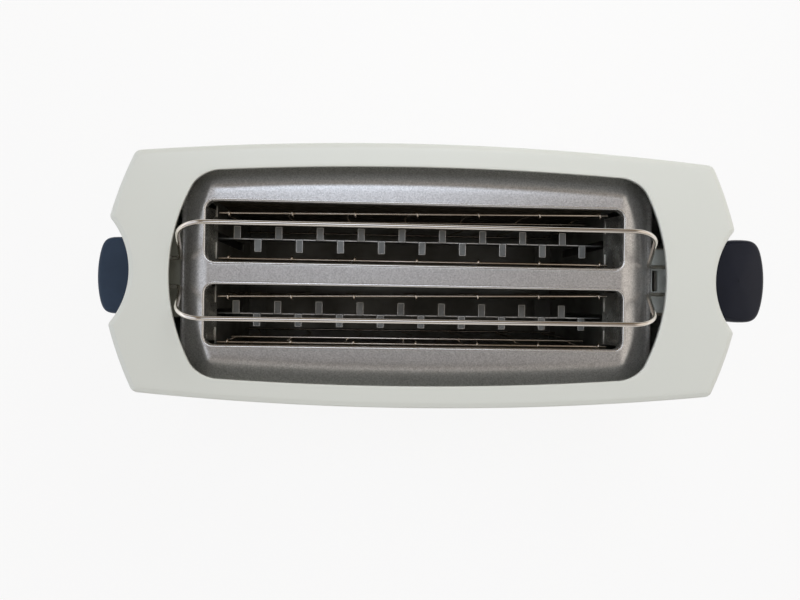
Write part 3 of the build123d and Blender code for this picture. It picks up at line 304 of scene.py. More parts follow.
finishLooks = {
    "housingPlastic": {"tone": (226, 230, 224), "patchTone": (223, 227, 221), "patchSize": 6.0,
                       "roughness": (0.30, 0.36), "grainSize": 2500.0, "grain": 0.006, "bump": 0.03,
                       "coat": 0.25, "coatRoughness": 0.12},
    "plinthPlastic": {"tone": (52, 54, 58), "patchTone": (60, 62, 66), "roughness": (0.5, 0.62),
                      "grainSize": 2200.0, "grain": 0.05, "bump": 0.35},
    "panelPlastic": {"tone": (214, 215, 211), "patchTone": (208, 209, 204), "roughness": (0.42, 0.5),
                     "grainSize": 2200.0, "grain": 0.015, "bump": 0.2},
    "buttonPlastic": {"tone": (48, 52, 64), "patchTone": (42, 45, 56), "roughness": (0.32, 0.42), "grain": 0.02,
                      "coat": 0.2},
    "dialPlastic": {"tone": (46, 50, 62), "patchTone": (40, 43, 54), "roughness": (0.36, 0.46), "grain": 0.02,
                    "coat": 0.15},
    "footRubber": {"tone": (42, 42, 43), "patchTone": (58, 58, 58), "roughness": (0.75, 0.9), "grain": 0.08,
                   "bump": 0.5},
    "chassisSteel": {"tone": (128, 128, 124), "patchTone": (150, 148, 142), "patchSize": 60.0,
                     "roughness": (0.45, 0.6), "metallic": 0.6, "grain": 0.06},
    "traySteel": {"tone": (150, 150, 144), "patchTone": (124, 120, 110), "patchSize": 30.0,
                  "roughness": (0.45, 0.6), "metallic": 0.6, "grain": 0.05},
    "brightSteel": {"tone": (190, 188, 184), "patchTone": (165, 158, 148), "patchSize": 40.0,
                    "roughness": (0.22, 0.38), "metallic": 1.0, "grain": 0.05},
    "frameSteel": {"tone": (146, 148, 142), "patchTone": (116, 116, 108), "patchSize": 45.0,
                   "roughness": (0.32, 0.46), "metallic": 0.8, "grain": 0.07},
    "guardSteel": {"tone": (232, 222, 208), "patchTone": (186, 170, 152), "patchSize": 26.0,
                   "roughness": (0.16, 0.28), "metallic": 1.0, "grain": 0.05},
    "stripSteel": {"tone": (150, 152, 150), "patchTone": (124, 126, 124), "patchSize": 50.0,
                   "roughness": (0.4, 0.5), "metallic": 0.7, "grain": 0.06},
    "screwSteel": {"tone": (160, 160, 158), "patchTone": (120, 118, 112), "patchSize": 300.0,
                   "roughness": (0.25, 0.4), "metallic": 1.0, "grain": 0.04},
    "springSteel": {"tone": (140, 142, 146), "patchTone": (96, 98, 102), "patchSize": 200.0,
                    "roughness": (0.28, 0.4), "metallic": 1.0, "grain": 0.05},
    # Dark tones for the mica boards, heating ribbons and reflectors inside the slots: partly their
    # heat-darkened colour, partly painted shade of the deep slots
    "micaSheet": {"tone": (84, 76, 62), "patchTone": (58, 52, 42), "patchSize": 120.0, "roughness": (0.4, 0.6),
                  "grain": 0.12, "bump": 0.3},
    "heatRibbon": {"tone": (88, 82, 76), "patchTone": (62, 58, 56), "patchSize": 200.0,
                   "roughness": (0.35, 0.5), "metallic": 0.9, "grain": 0.05},
    "reflectorSteel": {"tone": (120, 118, 112), "patchTone": (92, 88, 80), "patchSize": 30.0,
                       "roughness": (0.35, 0.5), "metallic": 0.8, "grain": 0.05},
    # Painted highlight: a bright steel for the thin edge pieces on the carrier strips and the end frames
    "edgeHighlightSteel": {"tone": (236, 234, 228), "patchTone": (206, 202, 194), "patchSize": 60.0,
                  "roughness": (0.3, 0.42), "metallic": 0.7, "grain": 0.04},
    "guideSteel": {"tone": (196, 198, 192), "patchTone": (164, 162, 154), "patchSize": 60.0,
                   "roughness": (0.2, 0.32), "metallic": 0.85, "grain": 0.05},
    "chromedWire": {"tone": (236, 232, 226), "patchTone": (214, 204, 192), "patchSize": 18.0,
                    "roughness": (0.04, 0.08), "metallic": 1.0, "grain": 0.02, "bump": 0.03},
    "leftLever": {"tone": (53, 67, 86), "patchTone": (47, 60, 77), "patchSize": 40.0, "roughness": (0.5, 0.58),
                  "grain": 0.02, "bump": 0.04, "specular": 0.2},
    "rightLever": {"tone": (33, 36, 46), "patchTone": (29, 32, 41), "patchSize": 40.0,
                   "roughness": (0.16, 0.22), "grain": 0.02, "bump": 0.04, "specular": 0.22},
    "nylon": {"tone": (206, 202, 188), "patchTone": (196, 190, 172), "roughness": (0.45, 0.55), "grain": 0.03},
    "rightLedge": {"tone": (178, 184, 181), "patchTone": (162, 168, 165), "patchSize": 60.0,
                   "roughness": (0.4, 0.5), "grain": 0.05},
    "ledgePlastic": {"tone": (98, 99, 90), "patchTone": (88, 90, 81), "patchSize": 60.0,
                     "roughness": (0.5, 0.6), "grain": 0.05},
    "coilWinding": {"tone": (140, 74, 40), "patchTone": (112, 56, 30), "patchSize": 300.0,
                    "roughness": (0.3, 0.45), "metallic": 0.6, "grain": 0.1},
    "circuitBoard": {"tone": (58, 92, 60), "patchTone": (70, 104, 66), "patchSize": 200.0,
                     "roughness": (0.4, 0.5), "grain": 0.05, "coat": 0.2},
}
finishes = {name: makeFinish(name, look) for name, look in finishLooks.items()}

plateLooks = {
    "silverSpray": {"tone": (205, 204, 203), "flakes": 0.3, "flakeSize": 1500.0, "metallic": 0.85,
                    "roughness": 0.31, "bump": 0.12},
    # Lip: the same sprayed sheet, smoother, with a brighter tone that is a painted highlight along the rolled
    # edge
    "silverLip": {"tone": (226, 225, 222), "flakes": 0.06, "flakeSize": 1500.0, "metallic": 0.85,
                  "roughness": 0.2, "bump": 0.02},
}


# Silver sprayed plate: flakes over the base tone and a fine orange-peel bump
def makePlateFinish(name, look):
    material, tree, shader = startMaterial(name)
    values = {"Tone": srgb(*look["tone"]), "Flake Size": look["flakeSize"], "Spread": look["flakes"]}
    pattern = placeGroup(tree, flakeGroup, values)
    tree.links.new(pattern["Color"], shader.inputs["Base Color"])
    shader.inputs["Metallic"].default_value = look["metallic"]
    shader.inputs["Roughness"].default_value = look["roughness"]
    relief = {"Height": pattern["Height"], "Strength": look["bump"], "Distance": bumpDistance}
    bump = addNode(tree, "Bump", relief)
    tree.links.new(bump.outputs[0], shader.inputs["Normal"])
    return material


finishes.update({name: makePlateFinish(name, look) for name, look in plateLooks.items()})
print("finishes made")

finishNodes = {
    "housingPlastic": ["housing"],
    "plinthPlastic": ["base_plinth", "contact_block", "button_switches", "browning_pot", "cable_gland"],
    "chassisSteel": ["chassis_floor", "magnet_core", "top_plate"],
    "traySteel": ["crumb_tray"],
    "screwSteel": ["case_screws"],
    "panelPlastic": ["control_panel", "rack_panel"],
    "frameSteel": ["end_frame_left", "end_frame_right"],
    "guideSteel": ["slot_guides_left", "slot_guides_right"],
    "brightSteel": ["carriage_stem", "carriage_bracket", "carriage_rods", "keeper_plate", "rack_stem",
                    "rack_lift_plate", "rack_rods", "rack_shelf", "rack_wire_front", "rack_wire_back"],
    "nylon": ["carriage_slider", "rack_slide_block"],
    "springSteel": ["lift_spring"],
    "coilWinding": ["magnet_coil"],
    "circuitBoard": ["circuit_board"],
    "dialPlastic": ["browning_dial", "carriage_knob", "rack_knob"],
    "ledgePlastic": ["rack_ledge_left"],
    "rightLedge": ["rack_ledge_right"],
    "footRubber": ["foot_front_left", "foot_front_right", "foot_back_left", "foot_back_right"],
    "buttonPlastic": ["stop_button", "defrost_button", "reheat_button"],
    "stripSteel": ["carrier_strip_front", "carrier_strip_back"],
    "reflectorSteel": ["reflector_front", "reflector_back"],
    "micaSheet": ["heater_board_front", "heater_board_middle", "heater_board_back"],
    "heatRibbon": ["heater_ribbon_front", "heater_ribbon_middle", "heater_ribbon_back"],
    "guardSteel": ["guard_front_outer", "guard_front_inner", "guard_back_outer", "guard_back_inner"],
}
nodeFinish = {nodeName: finish for finish, names in finishNodes.items() for nodeName in names}
for nodeName, node in nodes.items():
    node.data.materials.clear()
    node.data.materials.append(finishes[nodeFinish[nodeName]])
print("finishes given to", len(nodes), "nodes")


# The rim opening: arcs through four corners, bowed out along the sides and the ends
rim = {"centreX": -4.1, "cornerX": 132.0, "cornerY": 61.0, "sideBulge": 4.7, "endBulge": 17.9, "corner": 8.5,
       "skew": 1.1}

# The top plate: heights and where its slopes begin
plateForm = {"top": 184.0, "crease": 10.3, "overrun": 3.0, "past": 0.6, "slopeDrop": 6.5, "endDrop": 9.8,
             "leftEnd": -150.5, "rightEnd": 142.3, "softCrease": 0.9,
             "left": {"start": -132.4, "run": 18.1, "drop": 9.2, "power": 1.35},
             "right": {"start": 119.5, "run": 22.8, "drop": 9.8, "power": 1.4},
             "dipFrom": 12.0, "dipRun": 45.0, "sideLift": 5.0, "under": 6.2, "halfWidth": 73.2,
             "thickness": 1.2, "step": 1.2}

# The slots: their openings, and the lips rolled down into them
slots = {"centreX": -6.7, "length": 255.0, "width": 36.3, "y": 25.05, "corner": 5.4, "letOut": 0.5,
         "flangeDrop": 6.0, "roll": 1.0, "rise": 0.07, "wall": 1.2, "round": 0.3}


def arcRadius(halfChord, bulge):
    return (halfChord ** 2 + bulge ** 2) / (2 * bulge)


# How far a point lies inside the rim opening: the depth under the side arc or the end arc, whichever is
# less, and near a corner r - hypot(r - side depth, r - end depth)
def rimDepth(x, y):
    sideRadius = arcRadius(rim["cornerX"], rim["sideBulge"])
    endRadius = arcRadius(rim["cornerY"], rim["endBulge"])
    sideCentre = sideRadius - rim["cornerY"] - rim["sideBulge"]
    endCentre = rim["cornerX"] + rim["endBulge"] - endRadius
    across = np.abs(x - rim["centreX"])
    side = sideRadius - np.hypot(across, np.abs(y) + sideCentre)
    end = endRadius - np.hypot(np.maximum(across - endCentre, 0), y)
    r = rim["corner"]
    corner = r - np.hypot(np.maximum(r - side, 0), np.maximum(r - end, 0))
    return np.where((side < r) & (end < r), corner, np.minimum(side, end))


# The same for the opening as it is cut, which runs a little askew: it drifts across from right to left
def openingDepth(x, y):
    return rimDepth(x, y + rim["skew"] * (rim["centreX"] + rim["cornerX"] - x) / (2 * rim["cornerX"]))


# Body outline seen from above, as in the housing: bowed sides, slanted ends, a scoop in each end
body = {"cornerX": 174.2, "cornerY": 71.3, "tipX": 188.9, "tipY": 31.3, "sideBulge": 8.4, "slantBulge": 1.0,
        "scoopDepth": 11.4, "scoopRadius": 48.67, "cornerRadius": 2.6, "tipRadius": 1.6, "top": 190.0,
        "bottom": 17.0, "wall": 2.5}


# The lesser of two depths, rounded where both are under a radius
def roundLesser(a, b, radius):
    rounded = radius - np.hypot(np.maximum(radius - a, 0), np.maximum(radius - b, 0))
    return np.where((a < radius) & (b < radius), rounded, np.minimum(a, b))


# How far a point lies inside the body outline: under the side arc, under the slant arc and clear of the scoop
def bodyDepth(x, y):
    b = body
    x, y = np.abs(x), np.abs(y)
    sideRadius = arcRadius(b["cornerX"], b["sideBulge"])
    side = sideRadius - np.hypot(x, y + sideRadius - b["cornerY"] - b["sideBulge"])
    along = np.array([b["cornerX"] - b["tipX"], b["cornerY"] - b["tipY"]])
    half = np.linalg.norm(along) / 2
    slantRadius = arcRadius(half, b["slantBulge"])
    middle = np.array([b["cornerX"] + b["tipX"], b["cornerY"] + b["tipY"]]) / 2
    centre = middle + np.array([along[1], -along[0]]) / (2 * half) * (b["slantBulge"] - slantRadius)
    slant = slantRadius - np.hypot(x - centre[0], y - centre[1])
    scoop = np.hypot(x - b["tipX"] + b["scoopDepth"] - b["scoopRadius"], y) - b["scoopRadius"]
    return roundLesser(roundLesser(side, slant, b["cornerRadius"]), scoop, b["tipRadius"])


# How far and how finely the outlines are searched
rays = {"farthest": 240.0, "halvings": 40, "samples": 24000}


# Where rays from the middle reach a given depth inside an outline, found by halving
def rayReach(depth, cosine, sine, level):
    low, high = np.zeros_like(cosine), np.full_like(cosine, rays["farthest"])
    for _ in range(rays["halvings"]):
        middle = (low + high) / 2
        inside = depth(middle * cosine, middle * sine) > level
        low, high = np.where(inside, middle, low), np.where(inside, high, middle)
    return (low + high) / 2


# Ray angles spread by the length and the turning of both outlines, so that round corners get more of them
def rayAngles(count, turnWeight, exact):
    theta = np.linspace(0, 2 * math.pi, rays["samples"], endpoint=False)
    measure = np.zeros_like(theta)
    for depth in (openingDepth, bodyDepth):
        reach = rayReach(depth, np.cos(theta), np.sin(theta), 0.0)
        points = np.stack([reach * np.cos(theta), reach * np.sin(theta)], axis=-1)
        step = np.roll(points, -1, axis=0) - points
        heading = np.unwrap(np.arctan2(step[:, 1], step[:, 0]))
        turn = np.abs(np.diff(heading, append=heading[0] + 2 * math.pi))
        measure += np.linalg.norm(step, axis=-1) + turnWeight * turn
    angles = np.interp(np.arange(count) / count, np.cumsum(measure) / measure.sum(), theta)
    for angle in exact:
        angles[np.argmin(np.abs(angles - angle))] = angle
    return np.sort(angles)


# The housing: its soft outer edge as (depth, height), the rim's lip, the windows and the inlet's hole
housing = {"columns": 660, "turnWeight": 45.0, "lip": 0.6, "lipLow": 187.7,
           "edge": [(0.0, 186.4), (0.1, 187.5), (0.35, 188.4), (0.8, 189.08), (1.5, 189.45), (3.0, 189.83),
                    (3.25, 189.95), (3.55, 190.0)],
           "windowFrom": 170.0, "windowHalf": 24.3, "windowLow": 21.7, "windowHigh": 180.3, "bandTop": 46.0,
           "glandX": -130.0, "glandZ": 34.0, "glandHole": 6.5, "glandFrom": 60.0}


# Housing skin: up the wall, over the soft outer edge, across the top to the rim opening and over its lip,
# carried round along the rays, with a window in each scoop and a hole behind the inlet
def makeHousing():
    h = housing
    side = rayReach(bodyDepth, np.ones(1), np.zeros(1), 0.0)[0]
    windowX = side + body["scoopRadius"] - math.sqrt(body["scoopRadius"] ** 2 - h["windowHalf"] ** 2)
    turn = math.atan2(h["windowHalf"], windowX)
    exact = [turn, math.pi - turn, math.pi + turn, 2 * math.pi - turn]
    theta = rayAngles(h["columns"], h["turnWeight"], exact)
    cosine, sine = np.cos(theta), np.sin(theta)
    lowBand = np.linspace(h["windowLow"], h["bandTop"], 11)  # closer rows round the inlet's hole
    highBand = np.linspace(h["bandTop"], h["windowHigh"], 9)[1:]
    wallHeights = np.concatenate([[body["bottom"]], lowBand, highBand])
    rows = [(rayReach(bodyDepth, cosine, sine, 0.0), z) for z in wallHeights]
    rows += [(rayReach(bodyDepth, cosine, sine, depth), z) for depth, z in h["edge"]]
    outer = rows[-1][0]
    inner = rayReach(openingDepth, cosine, sine, -h["lip"])
    rows += [(outer + (inner - outer) * share, body["top"]) for share in np.linspace(0, 1, 9)[1:]]
    for quarter in np.linspace(0, math.pi / 2, 6)[1:]:
        level = -h["lip"] * (1 - math.sin(quarter))
        z = body["top"] - h["lip"] * (1 - math.cos(quarter))
        rows.append((rayReach(openingDepth, cosine, sine, level), z))
    rows.append((rayReach(openingDepth, cosine, sine, 0.0), h["lipLow"]))
    reach = np.array([row[0] for row in rows])
    height = np.broadcast_to(np.array([row[1] for row in rows])[:, None], reach.shape)
    points, faces = gridPart(np.stack([reach * cosine, reach * sine, height], axis=-1), closedCols=True)
    middle = points[faces].mean(axis=1)
    window = (np.abs(middle[:, 1]) < h["windowHalf"]) & (np.abs(middle[:, 0]) > h["windowFrom"])
    window &= (middle[:, 2] > h["windowLow"]) & (middle[:, 2] < h["windowHigh"])
    gland = np.hypot(middle[:, 0] - h["glandX"], middle[:, 2] - h["glandZ"]) < h["glandHole"]
    gland &= middle[:, 1] > h["glandFrom"]
    parts = [(points, faces[~window & ~gland])]
    material = finishes["housingPlastic"]
    piece = makePiece("housingShell", parts, material, "case", ["housing"], sharp=50)
    addWall(piece, body["wall"])


# The lesser of two heights, with the kink between them rounded over a width and raised by a little of it
def softLesser(a, b, width):
    return (a + b - np.sqrt((a - b) ** 2 + width ** 2)) / 2 + width * 0.02


# Height of the plate: flat on top, a straight slope outside the crease, and at each end a fall that grows as
# a power of the distance past its start, less deep away from the middle
def plateHeight(x, y):
    p = plateForm
    depth = np.maximum(rimDepth(x, y), -p["overrun"] - p["past"])
    slope = p["top"] - p["slopeDrop"] * (p["crease"] - depth) / (p["crease"] + p["overrun"])
    z = softLesser(np.full_like(x, p["top"]), slope, p["softCrease"])
    fall = np.zeros_like(x)
    share = np.clip((np.abs(y) - p["dipFrom"]) / p["dipRun"], 0, 1)
    lift = p["sideLift"] * share ** 2 * (3 - 2 * share)
    for end, past in ((p["left"], p["left"]["start"] - x), (p["right"], x - p["right"]["start"])):
        fall += (end["drop"] - lift) * (np.maximum(past, 0) / end["run"]) ** end["power"]
    low = p["top"] - np.minimum(fall, p["endDrop"])
    return np.maximum(z + low - p["top"], p["top"] - p["endDrop"])


# Depth inside a slot's rounded rectangle, let out by an amount: the corner radius less the distance past
# the corner's centre, or plus the distance short of it
def slotDepth(x, y, letOut):
    r = slots["corner"] + letOut
    dx = np.abs(x - slots["centreX"]) - slots["length"] / 2 - letOut + r
    dy = np.abs(np.abs(y) - slots["y"]) - slots["width"] / 2 - letOut + r
    return r - np.hypot(np.maximum(dx, 0), np.maximum(dy, 0)) - np.minimum(np.maximum(dx, dy), 0)


# Top plate: a grid at the plate's height, kept where it lies under the rim and outside the slots
def makeTopPlate():
    p = plateForm
    x = np.linspace(p["leftEnd"], p["rightEnd"], int((p["rightEnd"] - p["leftEnd"]) / p["step"]) + 1)
    y = np.linspace(-p["halfWidth"], p["halfWidth"], int(2 * p["halfWidth"] / p["step"]) + 1)
    gx, gy = np.meshgrid(x, y)
    points = np.stack([gx, gy, plateHeight(gx, gy)], axis=-1).reshape(-1, 3)
    faces = gridFaces(len(y), len(x))
    middle = points[faces].mean(axis=1)
    keep = rimDepth(middle[:, 0], middle[:, 1]) > -p["under"]
    keep &= slotDepth(middle[:, 0], middle[:, 1], slots["letOut"]) < 0
    used, faces = np.unique(faces[keep], return_inverse=True)
    parts = [(points[used], faces.reshape(-1, 4))]
    piece = makePiece("topPlate", parts, finishes["silverSpray"], "case", ["top_plate"], sharp=60)
    addWall(piece, p["thickness"])


# Rolled lips: from the plate over a quarter round and down into the slot, then back up behind the wall
def makeSlotLips():
    roll, wall, rounding = slots["roll"], slots["wall"], slots["round"]
    top, low = plateForm["top"] + slots["rise"], plateForm["top"] - slots["flangeDrop"]
    turn = np.linspace(0, math.pi / 2, 9)
    profile = [(roll + 0.5, top - 0.09), (roll + 0.2, top)]
    profile += [(roll - roll * math.sin(t), top - roll + roll * math.cos(t)) for t in turn]
    profile += [(0, low + rounding), (rounding, low), (wall - rounding, low), (wall, low + rounding),
                (wall, top - roll)]
    parts = []
    for side in (-1, 1):
        centre = np.array([slots["centreX"], side * slots["y"]])
        loop, outward = roundedRectangle(centre, slots["length"], slots["width"], slots["corner"])
        parts.append(roundLoop(loop, outward, profile))
    makePiece("slotLips", parts, finishes["silverLip"], "case", sharp=50)


makeHousing()
print("housing made")
makeTopPlate()
makeSlotLips()
print("top plate made")


# The warming wires: hinge line, raised bar and the crank pin under the right end
rack = {"radius": 1.3, "bend": 18.0, "smallBend": 3.2, "hingeZ": 178.0, "hingeY": 8.6, "barY": 26.7,
        "barRise": 37.0, "bearingLeft": -166.5, "armLeft": -149.6, "barLeft": -143.4, "barRight": 129.0,
        "armRight": 138.8, "crankX": 160.0, "crank": 21.0, "crankDip": 5.0, "pin": 7.5}


# One bent wire: out of the left bearing, up to the bar, along it, down to the hinge line and on to the crank
def makeRackWire(side, name):
    angle = math.atan2(rack["barRise"], rack["barY"] - rack["hingeY"])
    arm = math.hypot(rack["barRise"], rack["barY"] - rack["hingeY"])
    dip = math.radians(rack["crankDip"])

    def about(x, turn, radius):
        return (x, side * (rack["hingeY"] + radius * math.cos(turn)), rack["hingeZ"] + radius * math.sin(turn))

    corners = [about(rack["bearingLeft"], 0, 0), about(rack["armLeft"], 0, 0),
               about(rack["barLeft"], angle, arm), about(rack["barRight"], angle, arm),
               about(rack["armRight"], 0, 0), about(rack["crankX"], 0, 0),
               about(rack["crankX"], -dip, rack["crank"]),
               about(rack["crankX"] + rack["pin"], -dip, rack["crank"])]
    small, large = rack["smallBend"], rack["bend"]
    path = roundedPath(corners, [small, large, large, small, small, small], arcSteps=16, lineStep=4.0)
    parts = [tube(path, rack["radius"], 28, leaning=(0.1, side * 0.9, -0.43))]
    end, material = name.lower(), finishes["chromedWire"]
    makePiece("warmingWire" + name, parts, material, "rack_" + end, ["rack_wire_" + end], sharp=70)


makeRackWire(-1, "Front")
makeRackWire(1, "Back")
print("warming wires made")


# The lever knobs: what both share, then each one
knob = {"inner": 180.0, "scoopX": 226.17, "innerRadius": 46.17, "thickness": 13.0, "crown": 1.0, "edge": 3.4}
levers = [
    {"name": "carriageLever", "node": "carriage_knob", "rides": "carriage", "finish": "leftLever", "side": -1,
     "z": 131.5, "reach": 215.2, "halfWidth": 25.6, "faceRadius": 75.0, "cornerPower": 9.0, "shift": -1.0},
    {"name": "rackLever", "node": "rack_knob", "rides": "rack_lift", "finish": "rightLever", "side": 1,
     "z": 170.0, "reach": 216.5, "halfWidth": 26.6, "faceRadius": 70.0, "cornerPower": 9.0, "shift": 0.9},
]


# Distance from a centre to the knob's outline along each direction: the nearest of the inner circle, the
# outer circle and the two flat sides, blended as a power mean so that the corners are round
def knobOutline(theta, centreX, form):
    c, s = np.cos(theta), np.sin(theta)
    reaches = []
    outer = (form["reach"] - form["faceRadius"], form["faceRadius"])
    for circleX, radius in ((knob["scoopX"], knob["innerRadius"]), outer):
        shift = centreX - circleX
        reaches.append(-shift * c + np.sqrt(radius ** 2 - (shift * s) ** 2))
    reaches.append(form["halfWidth"] / np.maximum(np.abs(s), 1e-3))
    power = form["cornerPower"]
    return sum(r ** -power for r in reaches) ** (-1 / power)


# Lever: the outline scaled by a rounded-box profile in height, with a low crown over the top
def makeLever(form):
    centreX = (knob["inner"] + form["reach"]) / 2
    theta = np.linspace(0, 2 * math.pi, 128, endpoint=False)
    reach = knobOutline(theta, centreX, form)
    half, edge = knob["thickness"] / 2, knob["edge"]
    turn = np.linspace(-math.pi / 2, math.pi / 2, 17)
    inset = edge * (1 - np.cos(turn))
    heights = np.where(turn < 0, -half + edge, half - edge - knob["crown"]) + edge * np.sin(turn)
    flat = np.array([0.02, 0.3, 0.55, 0.75, 0.9])
    rows = []
    for share in flat:
        rows.append(((reach - edge) * share, np.full(len(theta), -half)))
    for drawn, h in zip(inset, heights):
        rows.append((reach - drawn, np.full(len(theta), h)))
    for share in flat[::-1]:
        rows.append(((reach - edge) * share, np.full(len(theta), half - knob["crown"] * share ** 2)))
    r = np.array([row[0] for row in rows])
    h = np.array([row[1] for row in rows])
    x = centreX + r * np.cos(theta)
    y = r * np.sin(theta)
    side = form["side"]
    points = np.stack([side * x, side * y + form["shift"], form["z"] + h], axis=-1)
    parts, material = [gridPart(points, closedCols=True)], finishes[form["finish"]]
    makePiece(form["name"], parts, material, form["rides"], [form["node"]], sharp=60)


for lever in levers:
    makeLever(lever)
print("levers made")


# The bread guards: pivot, middle and top wires, and the posts between them
guards = {"offset": 14.2, "radius": 0.75, "pivotZ": 34.0, "middleZ": 122.0, "topZ": 168.0,
          "pivotHalf": 129.3, "halfLength": 122.5, "posts": 7, "pitch": 39.0, "sway": 5.0,
          "hook": 3.2, "hookTurn": 1.2, "hookDrift": 0.8, "postOff": 1.4, "postShare": 0.9,
          "middleRadius": {"front_inner": 0.75, "front_outer": 1.15, "back_inner": 0.75, "back_outer": 0.75},
          "lean": {"front_inner": -1.15, "front_outer": -3.15, "back_inner": -1.35, "back_outer": 0.35},
          "skew": {"front_inner": 1.95, "front_outer": 0.0, "back_inner": 0.0, "back_outer": 1.85}}


# Posts bow out along the slot as one sine wave between the pivot wire and the top wire, then go a little
# more than half round the top wire; the whole guard leans by a shift across that grows with height and, for
# some, with the distance along the slot
def makeGuard(y, away, name):
    g = guards
    cx = slots["centreX"]
    rise = g["topZ"] - g["pivotZ"]
    lean, skew = g["lean"][name], g["skew"][name]
    parts = []
    rails = [(g["pivotZ"], g["pivotHalf"], g["radius"]),
             (g["middleZ"], g["halfLength"], g["middleRadius"][name]),
             (g["topZ"], g["halfLength"], g["radius"])]
    for z, half, radius in rails:
        share = (z - g["pivotZ"]) / rise
        ends = [y + (lean - skew) * share, y + lean * share, y + (lean + skew) * share]
        path = np.array([[cx - half, ends[0], z], [cx, ends[1], z], [cx + half, ends[2], z]])
        parts.append(tube(path, radius, 12))
    t = np.linspace(0, 1, 28)
    turn = np.linspace(0, math.pi * g["hookTurn"], 9)[1:]
    r = g["hook"] / 2
    for index in range(g["posts"]):
        x = cx + (index - (g["posts"] - 1) / 2) * g["pitch"] + g["sway"] * np.sin(2 * math.pi * t)
        shift = lean + skew * (x - cx) / g["halfLength"]
        post = np.stack([x, y + away * g["postOff"] + shift * t, g["pivotZ"] + rise * t], axis=-1)
        top = post[-1]
        hook = np.stack([top[0] + g["hookDrift"] * turn / math.pi, top[1] - away * r * (1 - np.cos(turn)),
                         top[2] + r * np.sin(turn)], axis=-1)
        path = np.concatenate([post, hook])
        parts.append(tube(path, g["radius"] * g["postShare"], 12, leaning=(0.9, 0.3, 0.02)))
    node = "guard_" + name
    label = "breadGuard" + name.title().replace("_", "")
    makePiece(label, parts, finishes["guardSteel"], node, [node], sharp=70)


for slotSide, slotName in ((-1, "front"), (1, "back")):
    for wallSide, wallName in ((-1, "inner"), (1, "outer")):
        away = slotSide * wallSide
        makeGuard(slotSide * slots["y"] + away * guards["offset"], away, slotName + "_" + wallName)
print("bread guards made")


# The carrier strips, their tabs and the painted highlights along the edges of both
strip = {"left": -141.5, "right": 125.0, "low": 120.3, "top": 132.3, "thick": 1.0, "bevel": 0.12,
         "tabs": 18, "pitch": 13.88, "tabWidth": 4.5, "tabLength": 8.0, "tabBevel": 0.1, "tabCorner": 0.4,
         "edge": 0.3, "edgeRise": 0.04, "edgeGap": 0.6, "edgeBevel": 0.05}


# Bread carrier strip with its tabs, and a painted highlight: a thin bright steel edge round each tab and along
# the top between tabs
def makeCarrier(side, name):
    c = strip
    y = side * slots["y"]
    half = c["thick"] / 2
    sheet = [bevelledBar((c["left"], y - half, c["low"]), (c["right"], y + half, c["top"]), c["bevel"])]
    edges = []
    raised = c["top"] + c["edgeRise"]
    profile = [(0.03, c["top"] - 0.5), (0.03, c["top"] + c["edgeRise"] / 2), (-0.08, raised),
               (-c["edge"], raised), (-c["edge"], c["top"] - 0.2)]
    for index in range(c["tabs"]):
        x = slots["centreX"] + (index - (c["tabs"] - 1) / 2) * c["pitch"]
        lean = 1 if index % 2 == 0 else -1
        halfX, halfY = c["tabWidth"] / 2, (half + c["tabLength"]) / 2
        middle = np.array([x, y + lean * halfY])
        low = (x - halfX, middle[1] - halfY, c["top"] - c["thick"])
        sheet.append(bevelledBar(low, (x + halfX, middle[1] + halfY, c["top"]), c["tabBevel"]))
        loop, outward = roundedRectangle(middle, 2 * halfX, 2 * halfY, c["tabCorner"], arcSteps=3, lineSteps=2)
        edges.append(roundLoop(loop, outward, profile))
        if index < c["tabs"] - 1:
            start, end = x + halfX + c["edgeGap"], x + c["pitch"] - halfX - c["edgeGap"]
            low = (start, y - c["edge"], c["top"] - c["edge"])
            edges.append(bevelledBar(low, (end, y + c["edge"], raised), c["edgeBevel"]))
    node = "carrier_strip_" + name.lower()
    makePiece("carrierStrip" + name, sheet, finishes["stripSteel"], "carriage", [node], sharp=35)
    makePiece("carrierEdgeHighlights" + name, edges, finishes["edgeHighlightSteel"], "carriage", sharp=35)


makeCarrier(-1, "Front")
makeCarrier(1, "Back")
print("carriers made")


# Painted highlights along the cut edges of the end frames where the notches begin, in two lengths per slot
frameEdgeHighlights = {"z": 148.6, "radius": 0.35, "spans": {
    -134.9: [(37.6, 47.4), (10.6, 21.1), (-17.7, -6.5), (-44.0, -34.1)],
    121.5: [(32.0, 40.0), (8.6, 18.0), (-20.0, -10.0), (-41.5, -33.0)],
}}


def makeFrameEdgeHighlights():
    parts = []
    z = frameEdgeHighlights["z"]
    for x, spans in frameEdgeHighlights["spans"].items():
        for low, high in spans:
            path = np.array([[x, low, z], [x, (low + high) / 2, z], [x, high, z]])
            parts.append(tube(path, frameEdgeHighlights["radius"], 10, leaning=(0.9, 0.05, 0.4)))
    makePiece("frameEdgeHighlights", parts, finishes["edgeHighlightSteel"], "case", sharp=60)


makeFrameEdgeHighlights()
print("frame edges made")


floorLook = {"half": 6.0, "tone": (0.9, 0.9, 0.9, 1.0), "roughness": 0.8, "glow": 0.86}


